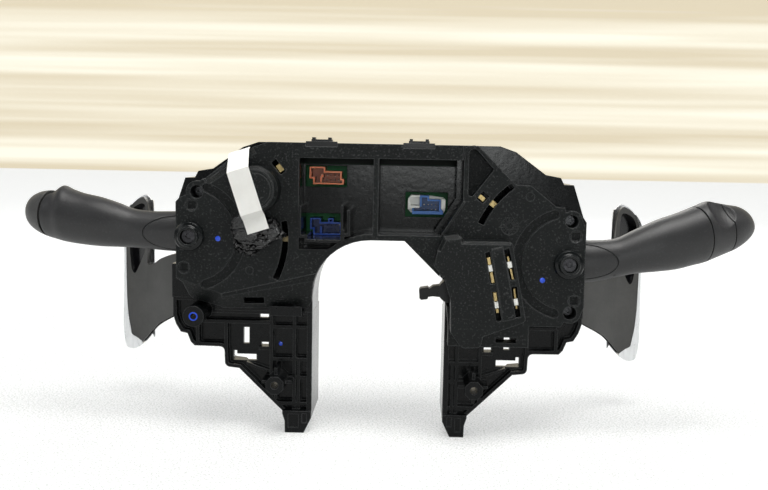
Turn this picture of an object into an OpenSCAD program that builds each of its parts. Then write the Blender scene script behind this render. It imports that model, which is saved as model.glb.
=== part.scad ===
// Combination stalk switch for a steering column.
// Two stalks and two gear paddles on a U-shaped module that straddles the column.
// +Z is up, +X is right seen from the rear, and -Y is the rear, where the wiring plugs in.
// The origin lies midway between the two leg fixing holes, on the plane of their boss faces.

/* [Column fixings] */
// Distance between the two leg holes
leg_hole_spacing = 112.6; // [108:0.2:118]
// Diameter of every fixing hole
fixing_hole_d = 4.2; // [3.6:0.1:5]
// Width across the flats of a leg boss
leg_boss_w = 10.2; // [9:0.2:13]
// Outer diameter of the upper fixing boss
upper_boss_d = 12; // [10:0.5:13]
// Upper fixing boss, distance out from the middle
upper_boss_x = 102.4; // [100:0.2:104]
// Upper fixing boss, height over the leg holes
upper_boss_z = 38.6; // [37:0.2:39.4]

/* [Covers] */
// Rear face of the covers, ahead of the boss faces
cover_y = 2; // [1:0.5:3]
// Thickness of the covers
cover_t = 3.5; // [3:0.25:4.5]
// How deep the skirts of the covers reach
skirt_depth = 12; // [10:0.5:13]
// Thickness of the skirts
skirt_t = 2; // [1.5:0.25:2.5]
// Height of the top edge
top_z = 137; // [135:0.5:140]
// Depth of the crescent grooves
groove_depth = 2.2; // [1.2:0.2:2.4]

/* [Housing] */
// Depth of the main housing behind the skirts
housing_depth = 33; // [31:0.5:36]
// Wall thickness of the housing
wall = 2.5; // [2:0.25:3]
// Half width of the housing
housing_half_w = 118; // [117:0.5:121]
// Depth of the front housing
front_depth = 4; // [3:0.5:6]
// Depth of the connector pockets below the rear face
pocket_depth = 22; // [18:1:24]
// Thickness of the circuit board
board_t = 1.6; // [1:0.2:2]

/* [Column arch] */
// Left side of the arch
arch_left = -36.7; // [-38:0.1:-35]
// Right side of the arch
arch_right = 39.4; // [38:0.1:41]
// Height of the crown
arch_top = 83.6; // [82:0.2:84.4]
// Radius of the left shoulder
arch_r = 33; // [31:0.5:34]

/* [Legs] */
// Rear face of the leg ribs
rib_y = 16; // [14.5:0.5:18]
// Depth of the rib pockets
rib_depth = 5; // [3:0.5:7]
// Thickness of the web between the ribs
web_t = 3; // [2:0.5:4]
// Thickness of the ribs
rib_t = 2; // [1.5:0.25:3]
// Thickness of the wall between the pockets and the arch
arch_wall = 3.1; // [3:0.1:4]
// Depth of the wall along the arch, from its rear edge
leg_wall_depth = 38; // [30:1:40]
// Height of the feet below the leg holes
foot_drop = 31; // [28:0.5:34]

/* [Pivots] */
// Left stalk pivot, distance out from the middle
left_pivot_x = 104.5; // [103:0.5:105.5]
// Left stalk pivot height
left_pivot_z = 84; // [83:0.5:85]
// Right stalk pivot, distance out from the middle
right_pivot_x = 106.5; // [105:0.5:107.5]
// Right stalk pivot height
right_pivot_z = 72.7; // [72:0.1:74]
// Diameter of the pivot collars
collar_d = 16.5; // [15:0.5:18]
// How far the collars stand off the covers
collar_h = 6; // [4:0.5:8]
// Diameter of the trunnions
trunnion_d = 10; // [9:0.5:11]
// Clearance all round a running fit
running_gap = 0.06; // [0.04:0.01:0.1]
// Clearance between a moving piece and its surroundings
side_gap = 0.4; // [0.35:0.05:0.6]
// Clearance all round a piece that is held fast
seat_gap = 0.1; // [0.05:0.01:0.15]
// Diameter of the pin that a stalk is pulled about
pull_pin_d = 5; // [4:0.5:6]
// Inner radius of the crescent grooves
groove_r0 = 26; // [25:0.5:27]
// Outer radius of the crescent grooves
groove_r1 = 31.2; // [30:0.2:32]
// Radius of the wiper slots
wiper_r = 53.5; // [53:0.5:54.5]
// Width of the wiper slots
wiper_slot_w = 3.4; // [2.8:0.2:4]

/* [Stalks] */
// Height of the stalk axis over the rear plane at the root
stalk_y = 22; // [21:0.5:23]
// Depth of a stalk as a share of its height
stalk_depth_ratio = 0.86; // [0.8:0.02:0.9]
// How strongly the stalks bend towards the driver
stalk_bend = 0.00154; // [0.001:0.0001:0.002]
// Travel of the push button in the left tip
button_travel = 1.5; // [1:0.25:2]
// Diameter of the button's stem
button_stem_d = 12; // [10:0.5:13]
// Diameter of the shaft that carries the right ring and knob
knob_shaft_d = 9; // [7:0.5:10]
// Length of the right ring
ring_length = 16.5; // [13:0.5:18]
// Gap at the seams of the ring and the knob
knob_seam = 0.5; // [0.4:0.1:0.8]

/* [Paddles] */
// Distance of the paddle pins from the middle
paddle_pin_x = 106; // [104:0.5:108]
// Distance of the paddle pins from the face of the front housing
paddle_pin_dy = 6; // [5.5:0.5:7]
// Diameter of the paddle pins
paddle_pin_d = 4; // [3:0.5:5]
// Outer reach of the paddles
paddle_reach = 167; // [163:0.5:172]
// Thickness of the paddle blades
paddle_t = 7; // [6:0.5:9]
// Thickness of the metal trim on the paddles
trim_t = 1.2; // [0.8:0.1:1.6]

/* [Hidden] */
$fn = 48;

grained = [0.24, 0.25, 0.25];
glossy = [0.09, 0.09, 0.1];
smooth = [0.28, 0.28, 0.3];
warm = [0.31, 0.3, 0.28];
silver = [0.78, 0.78, 0.78];
steel = [0.6, 0.6, 0.62];
brass = [0.75, 0.6, 0.25];
natural = [0.9, 0.88, 0.82];

y_in = cover_y + cover_t;
y_seam = cover_y + skirt_depth;
y_floor = y_seam + housing_depth - 3;
y_front = y_seam + housing_depth;
left_pivot = [left_pivot_x, left_pivot_z];
right_pivot = [right_pivot_x, right_pivot_z];
leg_x = leg_hole_spacing / 2;
collar_r = collar_d / 2;
trunnion_r = trunnion_d / 2;
mouth_half = 17.5;
mouth_x0 = -6;
mouth_x1 = 60;
bracket_top = 40;
well_left = [-100.6, 108.7];
well_right = [107.6, 96.4];
well_low = [108.4, 45.3];
well_r = 3.6;
well_floor = 1.5;
tongue_floor = 0.8;
screw_r = 1.5;

// ---------- Points ----------

// Points along an arc, counted from the +X direction
function arc(c, r, a0, a1, n = 8) =
    [for (i = [0:n]) c + r * [cos(a0 + (a1 - a0) * i / n), sin(a0 + (a1 - a0) * i / n)]];

function unit(v) = v / norm(v);
function side_normal(a, b) = let (d = unit(b - a)) [-d[1], d[0]];

// The outline moved inwards by d, for points that run anticlockwise
function inset(p, d) =
    [for (i = [0:len(p) - 1])
        let (a = p[(i + len(p) - 1) % len(p)], b = p[i], c = p[(i + 1) % len(p)],
             n = side_normal(a, b), m = side_normal(b, c))
        b + d * (n + m) / (1 + n * m)];

// ---------- Solids along the Y axis ----------

// Extrudes an outline drawn in X and Z from y0 to y1
module slab(y0, y1) translate([0, y1, 0]) rotate([90, 0, 0]) linear_extrude(y1 - y0) children();

module post(p, r, y0, y1) slab(y0, y1) translate(p) circle(r);

module box(x0, x1, y0, y1, z0, z1) translate([x0, y0, z0]) cube([x1 - x0, y1 - y0, z1 - z0]);

// A crescent or slot round a centre, with round ends
module curved_slot(r0, r1, a0, a1) {
    mid = (r0 + r1) / 2;
    end_r = (r1 - r0) / 2;
    polygon(concat(
        arc([0, 0], r1, a0, a1, 24),
        arc(mid * [cos(a1), sin(a1)], end_r, a1 + 22.5, a1 + 157.5, 6),
        arc([0, 0], r0, a1, a0, 24),
        arc(mid * [cos(a0), sin(a0)], end_r, a0 + 202.5, a0 + 337.5, 6)));
}

// A slot round a centre, with square ends
module square_slot(r, w, a0, a1)
    polygon(concat(arc([0, 0], r + w / 2, a0, a1, 16), arc([0, 0], r - w / 2, a1, a0, 16)));

// Takes away what lies outside a slope that starts along a line on the rear face
module slope_cut(p, turn, slope, depth = 0)
    translate([p[0], cover_y + depth, p[1]]) rotate([0, -turn, 0]) rotate([slope, 0, 0])
        translate([-90, -60, -60]) cube([180, 60, 60]);

// ---------- Outlines, as X and Z seen from the rear, anticlockwise ----------

arch_centre = [arch_left + arch_r + 0.4, arch_top - arch_r];
arch_rim = concat(
    [[arch_left, 49]],
    arc(arch_centre, arch_r, 175, 90, 10),
    [[15.5, arch_top]]);

cover_outline = concat(
    [[47, top_z], [-61, top_z], [-72, 133], [-84, 126.5]],
    arc(well_left, 6.2, 75, 195, 6),
    [[-110, 105.6], [-112.5, 103], [-112.5, 60], [-109, 57.5], [-106.6, 50], [-104.4, 47.4],
     [-90, 44], [-86, 42.4], [-39, 42.4], [arch_left, 47]],
    arch_rim,
    [[35.5, 64], [35.5, 88], [47, 106.4]]);

plate_outline = concat(
    [[55, top_z], [47.3, top_z], [47.3, 106.3], [35.8, 87.9], [35.8, 64.2], [arch_right - 2, 62],
     [arch_right, 50], [41, 36], [41, 25], [86, 25], [86, 37.2], [103.5, 37.2]],
    arc(well_low, 6, 240, 335, 6),
    [[116, 48.5], [115.6, 92]],
    arc(well_right, 6, 10, 125, 6),
    [[103.4, 104], [99, 104.2], [84.5, 115.7], [76, 116]]);

function housing_side(s, foot) =
    [[68 * s, top_z], [77 * s, 133.9], [94 * s, 121.5], [102.5 * s, 120], [104.5 * s, 116.2],
     [110 * s, 116], [114 * s, 104], [116 * s, 98], [housing_half_w * s, 95],
     [housing_half_w * s, foot]];

function back(p) = [for (i = [len(p) - 1:-1:0]) p[i]];

housing_outline = concat(
    housing_side(-1, 47),
    [[-93, 47], [-93, bracket_top], [arch_left, bracket_top]],
    arch_rim,
    [[arch_right - 2, 62], [arch_right, 50], [arch_right, bracket_top]],
    back(housing_side(1, bracket_top)));

front_outline = concat(
    housing_side(-1, bracket_top), [[arch_left, bracket_top]], arch_rim,
    [[arch_right - 2, 62], [arch_right, 50], [arch_right, bracket_top]],
    back(housing_side(1, bracket_top)));

// Connector pockets in the middle
left_pocket = concat(
    [[-2.4, 128.6], [-43.5, 128.6], [-43.5, 78], [-27.5, 78]],
    arc(arch_centre, arch_r + arch_wall, 128, 100, 5),
    [[-7, arch_top + 3.4], [-2.4, arch_top + 3.4]]);
right_pocket = [[46.5, 128.8], [0.6, 128.8], [0.6, arch_top + 3.2], [35.5, arch_top + 3.2],
    [46.5, 105.5]];

// ---------- Covers ----------

// A shallow shell with a skirt round its whole outline
module cover_shell(outline)
    difference() {
        slab(cover_y, y_seam) polygon(outline);
        slab(y_in, y_seam + 1) polygon(inset(outline, skirt_t));
    }

// The tube round a sunk screw, and the hole down its middle
module well_tube(p) post(p, well_r + 2, y_in - 1, y_seam);
module well_hole(p) {
    post(p, well_r, cover_y - 1, y_seam - well_floor);
    post(p, screw_r + seat_gap, cover_y, y_seam + 1);
}

// A blind square hole for a locating tongue, with a shallow round countersink
module tongue_hole(p) {
    slab(cover_y - 1, y_in - tongue_floor) translate(p) square(4.6, center = true);
    post(p, 3.4, cover_y - 1, cover_y + 0.8);
}

module pivot_hole(p) post(p, trunnion_r + running_gap, cover_y - 1, y_in + 1);

// The opening that a stalk tilts in, through every wall beside its pivot
module mouth(p, s, y0, y1)
    translate([p[0] * s, 0, p[1]]) mirror([s < 0 ? 1 : 0, 0, 0])
        box(mouth_x0, mouth_x1, y0, y1, -mouth_half, mouth_half);

module rear_cover() color(grained) difference() {
    union() {
        difference() {
            slab(cover_y, y_seam) polygon(cover_outline);
            difference() {
                slab(y_in, y_seam + 1) polygon(inset(cover_outline, skirt_t));
                chin_slopes(cover_t);
            }
            chin_slopes(0);
            // crisp step along the fold, fading out towards the left
            intersection() {
                slope_cut(fold, 13.4, 0, fold_step);
                box(fold[0], 0, -10, y_seam, 0, top_z);
            }
        }
        well_tube(well_left);
    }
    post([-71, 65.1], 2.2, cover_y - 1, cover_y + 0.4);
    box(arch_left - 6, arch_left + 6, y_in + 1.5, y_in + 4.5, 54.2, 56.8);
    edge_bevel([-97, 116], [-70, 134.4], 4.4, 5);
    for (w = [left_pocket, right_pocket_open]) slab(cover_y - 1, y_seam + 1) polygon(w);
    well_hole(well_left);
    for (p = [[-103.6, 101.3], [-108.2, 66.1]]) tongue_hole(p);
    pivot_hole([-left_pivot_x, left_pivot_z]);
    translate([-left_pivot_x, 0, left_pivot_z]) {
        slab(cover_y - 1, cover_y + groove_depth) curved_slot(groove_r0, groove_r1, -73, 70);
        slab(cover_y - 1, y_in + 1) square_slot(wiper_r, wiper_slot_w, -26, 10);
    }
    slab(cover_y - 1, y_in + 1) translate([-55.2, 123.3]) rotate(-50) square([8.5, 3.4], center = true);
    mouth(left_pivot, -1, y_in, y_seam + 1);
    box(-75, -63.6, cover_y, y_seam + 1, 45.6, 49.4);
    latch_notches();
}

// The two planes that the lower part of the left cover slopes back along, from a fold
fold = [-86.8, 51.6];
fold_step = 1.3;
module chin_slopes(depth) {
    slope_cut(fold, 11.2, 33, depth);
    slope_cut(fold, -19, 33, depth);
}

// Where the top clips hook over the rear edge
module latch_notches()
    for (x = [-40, 13.7]) box(x, x + clip_w, cover_y - 1, cover_y + clip_t, top_z - 2, top_z + 1);

right_pocket_open = [[60, 128.8], [0.6, 128.8], [0.6, arch_top + 3.2], [60, arch_top + 3.2]];
clip_w = 17.4;
clip_t = 1.6;

// Takes a bevel off the outside of an edge that runs from a to b
module edge_bevel(a, b, w, d) {
    run = b - a;
    translate([a[0], cover_y, a[1]]) rotate([0, -atan2(run[1], run[0]), 0]) rotate([90, 0, 90])
        linear_extrude(norm(run)) polygon([[-1, -w - w / d], [d, 0], [d, 3], [-1, 3]]);
}

module right_switch_plate() color(grained) difference() {
    union() {
        cover_shell(plate_outline);
        for (w = [well_right, well_low]) well_tube(w);
        slab(y_in - 1, y_seam) polygon(inset(corner_pocket, -skirt_t));
        // raised rim along the edge beside the pocket
        slab(cover_y - 1, y_in) polygon([[47.3, 106.3], [35.8, 87.9], [37.3, 87.9], [48.8, 106.3]]);
    }
    slab(cover_y - 2, y_seam - skirt_t) polygon(corner_pocket);
    knurled_dish([73.5, 93.2]);
    post([84.2, 109.6], 2.4, cover_y - 1, cover_y + 0.25);
    // room for the wiper, which reaches under the skirt at the end of its travel
    translate([right_pivot_x, 0, right_pivot_z])
        slab(y_in - 0.01, cheek_y0 + leaf_t + side_gap) square_slot(wiper_r, 8, 120, 162);
    for (w = [well_right, well_low]) well_hole(w);
    for (p = [[110.1, 88.2], [110.5, 52.1]]) tongue_hole(p);
    pivot_hole(right_pivot);
    translate([right_pivot_x, 0, right_pivot_z]) {
        slab(cover_y - 1, cover_y + groove_depth) curved_slot(groove_r0, groove_r1, 107, 256);
        slab(cover_y - 1, y_in + 1) square_slot(wiper_r, wiper_slot_w, 126.6, 156.4);
    }
    slab(cover_y - 1, y_in + 1) translate([58.2, 108.8]) rotate(-38) square([4.6, 5.4], center = true);
    mouth(right_pivot, 1, y_in, y_seam + 1);
    box(67.7, 79.2, cover_y - 1, y_in + 1, 27.6, 30.6);
    box(30, 50, cover_y - 1, y_seam + 1, 47, 63.5);
}

// The three-cornered recess at the upper left of the right plate
corner_pocket = concat(arc([52.6, 132.6], 2.6, 40, 180, 6), arc([51.6, 110.8], 1.6, 190, 320, 5),
    arc([62.2, 124], 1.2, -40, 40, 3));

// A shallow round dish with radial teeth on its floor
module knurled_dish(p) difference() {
    post(p, dish_r, cover_y - 2, cover_y + 0.7);
    slab(cover_y + 0.2, cover_y + 1) translate(p) for (a = [0:24:336]) rotate(a)
        translate([dish_r * 0.4, -0.3]) square([dish_r * 0.5, 0.6]);
}
dish_r = 4.7;

// ---------- Housing ----------

y_pocket = cover_y + pocket_depth;
y_board = y_pocket + 12;
window_orange = [-42.6, -18.6, 111.9, 124.2];
window_blue = [-42.4, -20.4, 83, 96.6];
window_white = [15.4, 39.9, 95.6, 110];

module window(w, y0, y1, grow = 0)
    box(w[0] - grow, w[1] + grow, y0, y1, w[2] - grow, w[3] + grow);

// Walls and floor of the two connector pockets
module pocket_box() difference() {
    slab(y_in + seat_gap, y_pocket + wall) {
        polygon(inset(left_pocket, -wall));
        polygon(inset(right_pocket, -wall));
    }
    slab(y_in, y_pocket) {
        polygon(left_pocket);
        polygon(right_pocket);
    }
    difference() {
        slab(y_in, y_seam) square(400, center = true);
        slab(y_in, y_seam) {
            polygon(inset(cover_outline, skirt_t + seat_gap));
            polygon(inset(plate_outline, skirt_t + seat_gap));
        }
    }
    for (w = [window_orange, window_blue, window_white]) window(w, y_pocket - 1, y_pocket + wall + 1);
    for (x = [[-43.5, -2.4], [0.6, 46.5]]) box(x[0], x[1], y_pocket - 1, y_pocket + wall + 1, 125, 128.6);
}

module main_housing() color(glossy) difference() {
    union() {
        difference() {
            slab(y_seam, y_front) polygon(housing_outline);
            slab(y_seam - 1, y_floor) polygon(inset(housing_outline, wall));
        }
        // ledge that the skirts of the covers stand on
        difference() {
            slab(y_seam, y_seam + 2) polygon(housing_outline);
            slab(y_seam - 1, y_seam + 3) {
                polygon(inset(cover_outline, skirt_t + 1));
                polygon(inset(plate_outline, skirt_t + 1));
            }
        }
        pocket_box();
        for (w = [well_left, well_right, well_low]) post(w, 5, y_seam, y_floor + 1);
        for (x = board_posts_x, z = board_posts_z) post([x, z], 3, y_board + board_t, y_floor + 1);
        post(cancel_pivot, cancel_pin_r + 1, y_seam, y_floor + 1);
        post(cancel_pivot, cancel_pin_r, y_in - 1, y_seam + 1);
    }
    for (w = [well_left, well_right, well_low]) post(w, screw_r, y_seam - 1, y_seam + 20);
    mouth(left_pivot, -1, y_seam - 1, y_floor);
    mouth(right_pivot, 1, y_seam - 1, y_floor);
    for (p = [[-left_pivot_x, left_pivot_z], right_pivot]) {
        post(p, front_trunnion_r + running_gap, y_floor - 1, y_front + 1);
    }
}

board_posts_x = [-42, 42];
board_posts_z = [91.5, 126];
cancel_pivot = [41.6, 55.6];
cancel_pin_r = 2;
front_trunnion_r = 6;

module circuit_board() color([0.1, 0.35, 0.16])
    slab(y_board, y_board + board_t) polygon(board_outline);
board_outline = [[45, 130], [-45.5, 130], [-45.5, 84], [-22, 84], [-14, 87.5], [45, 87.5]];

// The driver's side: a plate with bearing lugs for the paddles and a rim round the column
y_face = y_front + front_depth;
y_pin = y_face + paddle_pin_dy;
lug_low = [42, 46];
lug_high = [70, 74];
pin_r = paddle_pin_d / 2;

module lug(s, z) mirror([s < 0 ? 1 : 0, 0, 0]) {
    translate([paddle_pin_x, y_pin, z[0]]) cylinder(r = 5.5, h = z[1] - z[0]);
    box(paddle_pin_x - 5.5, paddle_pin_x + 5.5, y_face - 1, y_pin, z[0], z[1]);
}

module front_housing() color(glossy) difference() {
    union() {
        slab(y_front, y_face) polygon(inset(front_outline, 0.8));
        difference() {
            slab(y_face - 1, y_face + 1.5) polygon(inset(front_outline, 3));
            slab(y_face - 2, y_face + 4) polygon(inset(front_outline, 5));
        }
        for (s = [-1, 1], z = [lug_low, lug_high]) lug(s, z);
        for (x = [-62, 62], z = [52, 122]) post([x, z], 4.5, y_face - 1, y_face + 6);
        for (x = [-75, -25, 25, 75]) box(x - 1, x + 1, y_face - 1, y_face + 3, 90, 132);
        box(-100, 100, y_face - 1, y_face + 3, 104, 106);
    }
    for (s = [-1, 1]) translate([s * paddle_pin_x, y_pin, lug_low[0] - 1])
        cylinder(r = pin_r + seat_gap / 2, h = lug_high[1] - lug_low[0] + 2);
    for (x = [-62, 62], z = [52, 122]) post([x, z], 1.5, y_face - 2, y_face + 7);
}

// ---------- Legs ----------

// Outline of a leg seen from the rear, for the leg on the right; bump is its height outside
function leg_outline(inner, bump) = concat([
    [inner, -22], [inner + 4.3, -foot_drop], [leg_x - 4.4, -foot_drop], [leg_x - 4.2, -24],
    [leg_x - 2.8, -19.6], [leg_x + 0.8, -16.2], [79.4, 5.6]],
    arc([84.8, 9.2], 3, -84, -4, 4), arc([90.8, 15.4], 2.8, 176, 94, 4),
    [[105.6, 18.4], [107.8, 20.6], [109.8, 25.6], [113.6, 26.4], [116.4, 31], [housing_half_w, 36],
    [housing_half_w, bump]],
    bump > bracket_top ? [[93, bump], [93, bracket_top]] : [],
    [[inner, bracket_top]]);

y_web = rib_y + rib_depth;
y_rim = y_web + 14;
foot_top = -18;

module upright(x, z0, z1) box(x - rib_t / 2, x + rib_t / 2, rib_y, y_web + 1, z0, z1);
module crossbar(z, x0, x1) box(x0, x1, rib_y, y_web + 1, z - rib_t / 2, z + rib_t / 2);

// The ribs in front of the web, drawn for the right side
module leg_ribs(inner) {
    for (x = [leg_x - 9.1, leg_x + 4.3]) upright(x, foot_top, bracket_top);
    upright(leg_x - 11.6, foot_top, 11);
    for (x = [87.2, 103.8]) upright(x, 8, 33);
    for (z = [30.6, 11.6]) crossbar(z, inner, leg_x + 4.3);
    for (z = [0.8, -14.8]) crossbar(z, inner, leg_x);
    crossbar(33, leg_x + 4.3, 104);
    crossbar(17.6, leg_x + 4.3, 68);
    // slanting rib beside the boss
    slab(rib_y + 1, y_web + 1)
        polygon([[leg_x + 2, 2], [leg_x + 19, 7.6], [leg_x + 19, 9.2], [leg_x + 2, 3.6]]);
}

// A ribbed leg with its boss and its foot, drawn for the right side
module leg(inner, bump) {
    outline = leg_outline(inner, bump);
    difference() {
        union() {
            slab(y_web, y_web + web_t) polygon(outline);
            // rim round the outline, deeper than the ribs
            difference() {
                slab(rib_y, y_rim) polygon(outline);
                slab(rib_y - 1, y_rim + 1) polygon(inset(outline, rib_t));
            }
            intersection() {
                slab(rib_y, y_web + 1) polygon(outline);
                leg_ribs(inner);
            }
            // wall along the column
            box(inner, inner + 3, y_seam, y_seam + leg_wall_depth, -22, bracket_top);
            leg_boss();
            foot(inner, outline);
        }
        post([leg_x, 0], fixing_hole_d / 2, -1, y_web + web_t + 1);
    }
}

// The foot, with a shallow panel and a slot in its rear face
module foot(inner, outline) difference() {
    intersection() {
        slab(rib_y - 4, rib_y + 24) polygon(outline);
        box(30, leg_x - 2.8, 0, 60, -foot_drop - 1, foot_top);
    }
    box(inner + 7.4, leg_x - 6.2, 0, rib_y - 2.8, -foot_drop + 3, foot_top - 2);
    box(inner + 2.6, inner + 5.4, 0, rib_y - 3.4, -foot_drop + 6, foot_top - 1.5);
}

// Eight-sided boss with fillet plates, up to the fixing plane
module leg_boss() {
    translate([leg_x, y_web + 1, 0]) rotate([90, 22.5, 0])
        cylinder(d = leg_boss_w / cos(22.5), h = y_web + 1, $fn = 8);
    box(leg_x - 0.9, leg_x + 0.9, 5, y_web + 1, -leg_boss_w / 2 - 4, leg_boss_w / 2 + 4);
    box(leg_x - leg_boss_w / 2 - 3.5, leg_x + leg_boss_w / 2 + 3.5, 8, y_web + 1, -0.9, 0.9);
}

// Openings through the web, drawn for the right side
module leg_windows() {
    for (w = [[74.4, 77.8, 19.2, 29], [63, 68.2, 34.8, 38], [63, 67.2, 18.6, 20.4],
        [70.2, 83.6, 9.2, 13], [81.6, 83.6, 12, 15]])
        box(w[0], w[1], rib_y - 1, y_web + web_t + 1, w[2], w[3]);
}

// Hook that laps over the lower edge of the left cover
module chin_hook() {
    box(42, 60.4, rib_y - 8.4, rib_y - 6.4, bracket_top - 1.4, bracket_top + 4.2);
    box(42, 60.4, rib_y - 8, rib_y + 1, bracket_top - 1.4, bracket_top);
}

module left_bracket() color(glossy) mirror([1, 0, 0]) difference() {
    union() {
        leg(-arch_left, 47);
        post([upper_boss_x, upper_boss_z], upper_boss_d / 2, 0, y_web + 1);
        chin_hook();
    }
    leg_windows();
    post([upper_boss_x, upper_boss_z], fixing_hole_d / 2, -1, y_web + web_t + 1);
}

module right_bracket() color(glossy) difference() {
    leg(arch_right, bracket_top);
    leg_windows();
}

// ---------- Stalk pivots ----------

// Shapes from here to the stalks are drawn for a stalk that points to the right. Their X and Z
// count from the pivot, and place() puts them on the left or the right side.
module place(s) {
    p = s < 0 ? left_pivot : right_pivot;
    mirror([s < 0 ? 1 : 0, 0, 0]) translate([p[0], 0, p[1]]) children();
}

cheek_y0 = y_in + 0.5;
cheek_y1 = cheek_y0 + 4;
cheek_y2 = y_floor - side_gap - 4;
cheek_y3 = y_floor - side_gap;
pull_x = -9;
web_x0 = -24;
web_x1 = -15;
web_z = 13;
eye_r = pull_pin_d / 2 + 2;
lug_z = 9.4;
lug_h = 4;
plunger_r = 3;
track_r = 28.2;
left_wiper_angle = -1;
right_wiper_angle = 37.4;
leaf_t = 0.6;

module cheek_shape() {
    circle(8);
    polygon([[web_x0, -web_z], [web_x1, -web_z], [-1.6, -7.8], [-1.6, 7.8], [web_x1, web_z],
        [web_x0, web_z]]);
}

// The yoke that tilts about the Y axis and holds the pin that its stalk is pulled about
module tilt_carrier(wiper_angle) difference() {
    union() {
        slab(cheek_y0, cheek_y1) cheek_shape();
        slab(cheek_y2, cheek_y3) cheek_shape();
        box(web_x0, web_x1, cheek_y0, cheek_y3, -web_z, web_z);
        for (s = [-1, 1]) {
            z = s > 0 ? lug_z : -lug_z - lug_h;
            translate([pull_x, stalk_y, z]) cylinder(r = eye_r + 1, h = lug_h);
            box(web_x1 - 1, pull_x, stalk_y - eye_r - 1, stalk_y + eye_r + 1, z, z + lug_h);
        }
        post([0, 0], trunnion_r, collar_seat, cheek_y0 + 1);
        post([0, 0], front_trunnion_r, cheek_y3 - 1, y_front - side_gap);
        // arm that carries the wiper
        rotate([0, wiper_angle, 0]) box(4 - wiper_r, -13, cheek_y0 + leaf_t, cheek_y1 - 0.8, -1.6, 1.6);
    }
    post([0, 0], pivot_screw_r + seat_gap, collar_seat - 1, cheek_y1 + 1);
    translate([pull_x, stalk_y, -lug_z - lug_h - 1])
        cylinder(r = pull_pin_d / 2 + seat_gap / 2, h = 2 * (lug_z + lug_h) + 2);
    translate([web_x0 - 1, stalk_y, 0]) rotate([0, 90, 0])
        cylinder(r = plunger_r + running_gap, h = web_x1 - web_x0 - 0.5);
}

collar_seat = cover_y - 0.2;
pivot_screw_r = 2;

// The stepped ring that shows round each pivot, screwed on the end of the rear trunnion
collar_tube_r = 5.9;
collar_bore_r = 4.2;
collar_floor = 1.5;
module pivot_collar() translate([0, collar_seat, 0]) rotate([90, 0, 0]) rotate_extrude() polygon([
    [pivot_screw_r + seat_gap, 0], [collar_r, 0], [collar_r, 2.4], [collar_r - 0.5, 3.2],
    [collar_r - 1.4, 3.6], [collar_tube_r + 0.4, 3.8], [collar_tube_r, 4.2],
    [collar_tube_r, collar_h - 0.6], [collar_tube_r - 0.5, collar_h], [collar_bore_r, collar_h],
    [collar_bore_r, collar_floor], [pivot_screw_r + seat_gap, collar_floor]]);

module pivot_screw() difference() {
    union() {
        post([0, 0], 3.6, collar_seat - collar_floor - 2.2, collar_seat - collar_floor);
        post([0, 0], pivot_screw_r, collar_seat - 2, cheek_y1);
    }
    slab(collar_seat - 5, collar_seat - collar_floor - 0.8) for (a = [0, 60]) rotate(a) circle(2, $fn = 3);
}

// Brass leaf on the arm, seen through the wiper slot
module wiper(angle) rotate([0, angle, 0]) {
    box(-wiper_r - 1.6, 8 - wiper_r, cheek_y0, cheek_y0 + leaf_t, -1.6, 1.6);
    box(-wiper_r - 0.8, 0.8 - wiper_r, y_in + 0.1, cheek_y0, -1.2, 1.2);
}

module pull_pin() translate([pull_x, stalk_y, -lug_z - lug_h])
    cylinder(r = pull_pin_d / 2, h = 2 * (lug_z + lug_h));

// Hollow plunger with a round nose that rides on the detent track
module detent_plunger() translate([web_x1, stalk_y, 0]) rotate([0, -90, 0]) difference() {
    rotate_extrude() polygon(concat(
        [[0, 12.8], [0, 3.2], [plunger_r, 3.2]],
        [for (a = [0:15:75]) [plunger_r * cos(a), 9.8 + plunger_r * sin(a)]]));
    translate([0, 0, 3]) cylinder(r = plunger_r - 0.9, h = 7);
}

// A coil spring along Z: a wire swept round a helix
module coil(r, wire, turns, h) {
    steps = turns * 12;
    ring = 6;
    pts = [for (i = [0:steps], k = [0:ring - 1])
        let (a = i * 30, b = k * 360 / ring, q = r + wire * cos(b))
        [q * cos(a), q * sin(a), wire + (h - 2 * wire) * i / steps + wire * sin(b)]];
    sides = [for (i = [0:steps - 1], k = [0:ring - 1], t = [0, 1])
        let (a = i * ring + k, b = i * ring + (k + 1) % ring)
        t == 0 ? [a, b, b + ring] : [a, b + ring, a + ring]];
    polyhedron(pts, concat([[for (k = [ring - 1:-1:0]) k]], sides,
        [[for (k = [0:ring - 1]) steps * ring + k]]));
}

module detent_spring() translate([web_x1 - 1.5, stalk_y, 0]) rotate([0, -90, 0])
    coil(1.5, 0.35, 4, 7.5);

// A notched track that gives a stalk its stops, standing on the floor of the housing
module detent_track(stops) slab(y_seam + 2.5, y_floor) difference() {
    polygon(concat(arc([0, 0], track_r + 5, 150, 214, 16), arc([0, 0], track_r, 214, 150, 32)));
    for (a = stops) rotate(180 + a) translate([track_r, 0]) rotate(45) square(1.6, center = true);
}

module detent_tracks() color(natural) {
    place(-1) detent_track([-8, 0, 16]);
    place(1) detent_track([-14, 0, 14]);
}

// ---------- Stalks ----------

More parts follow.
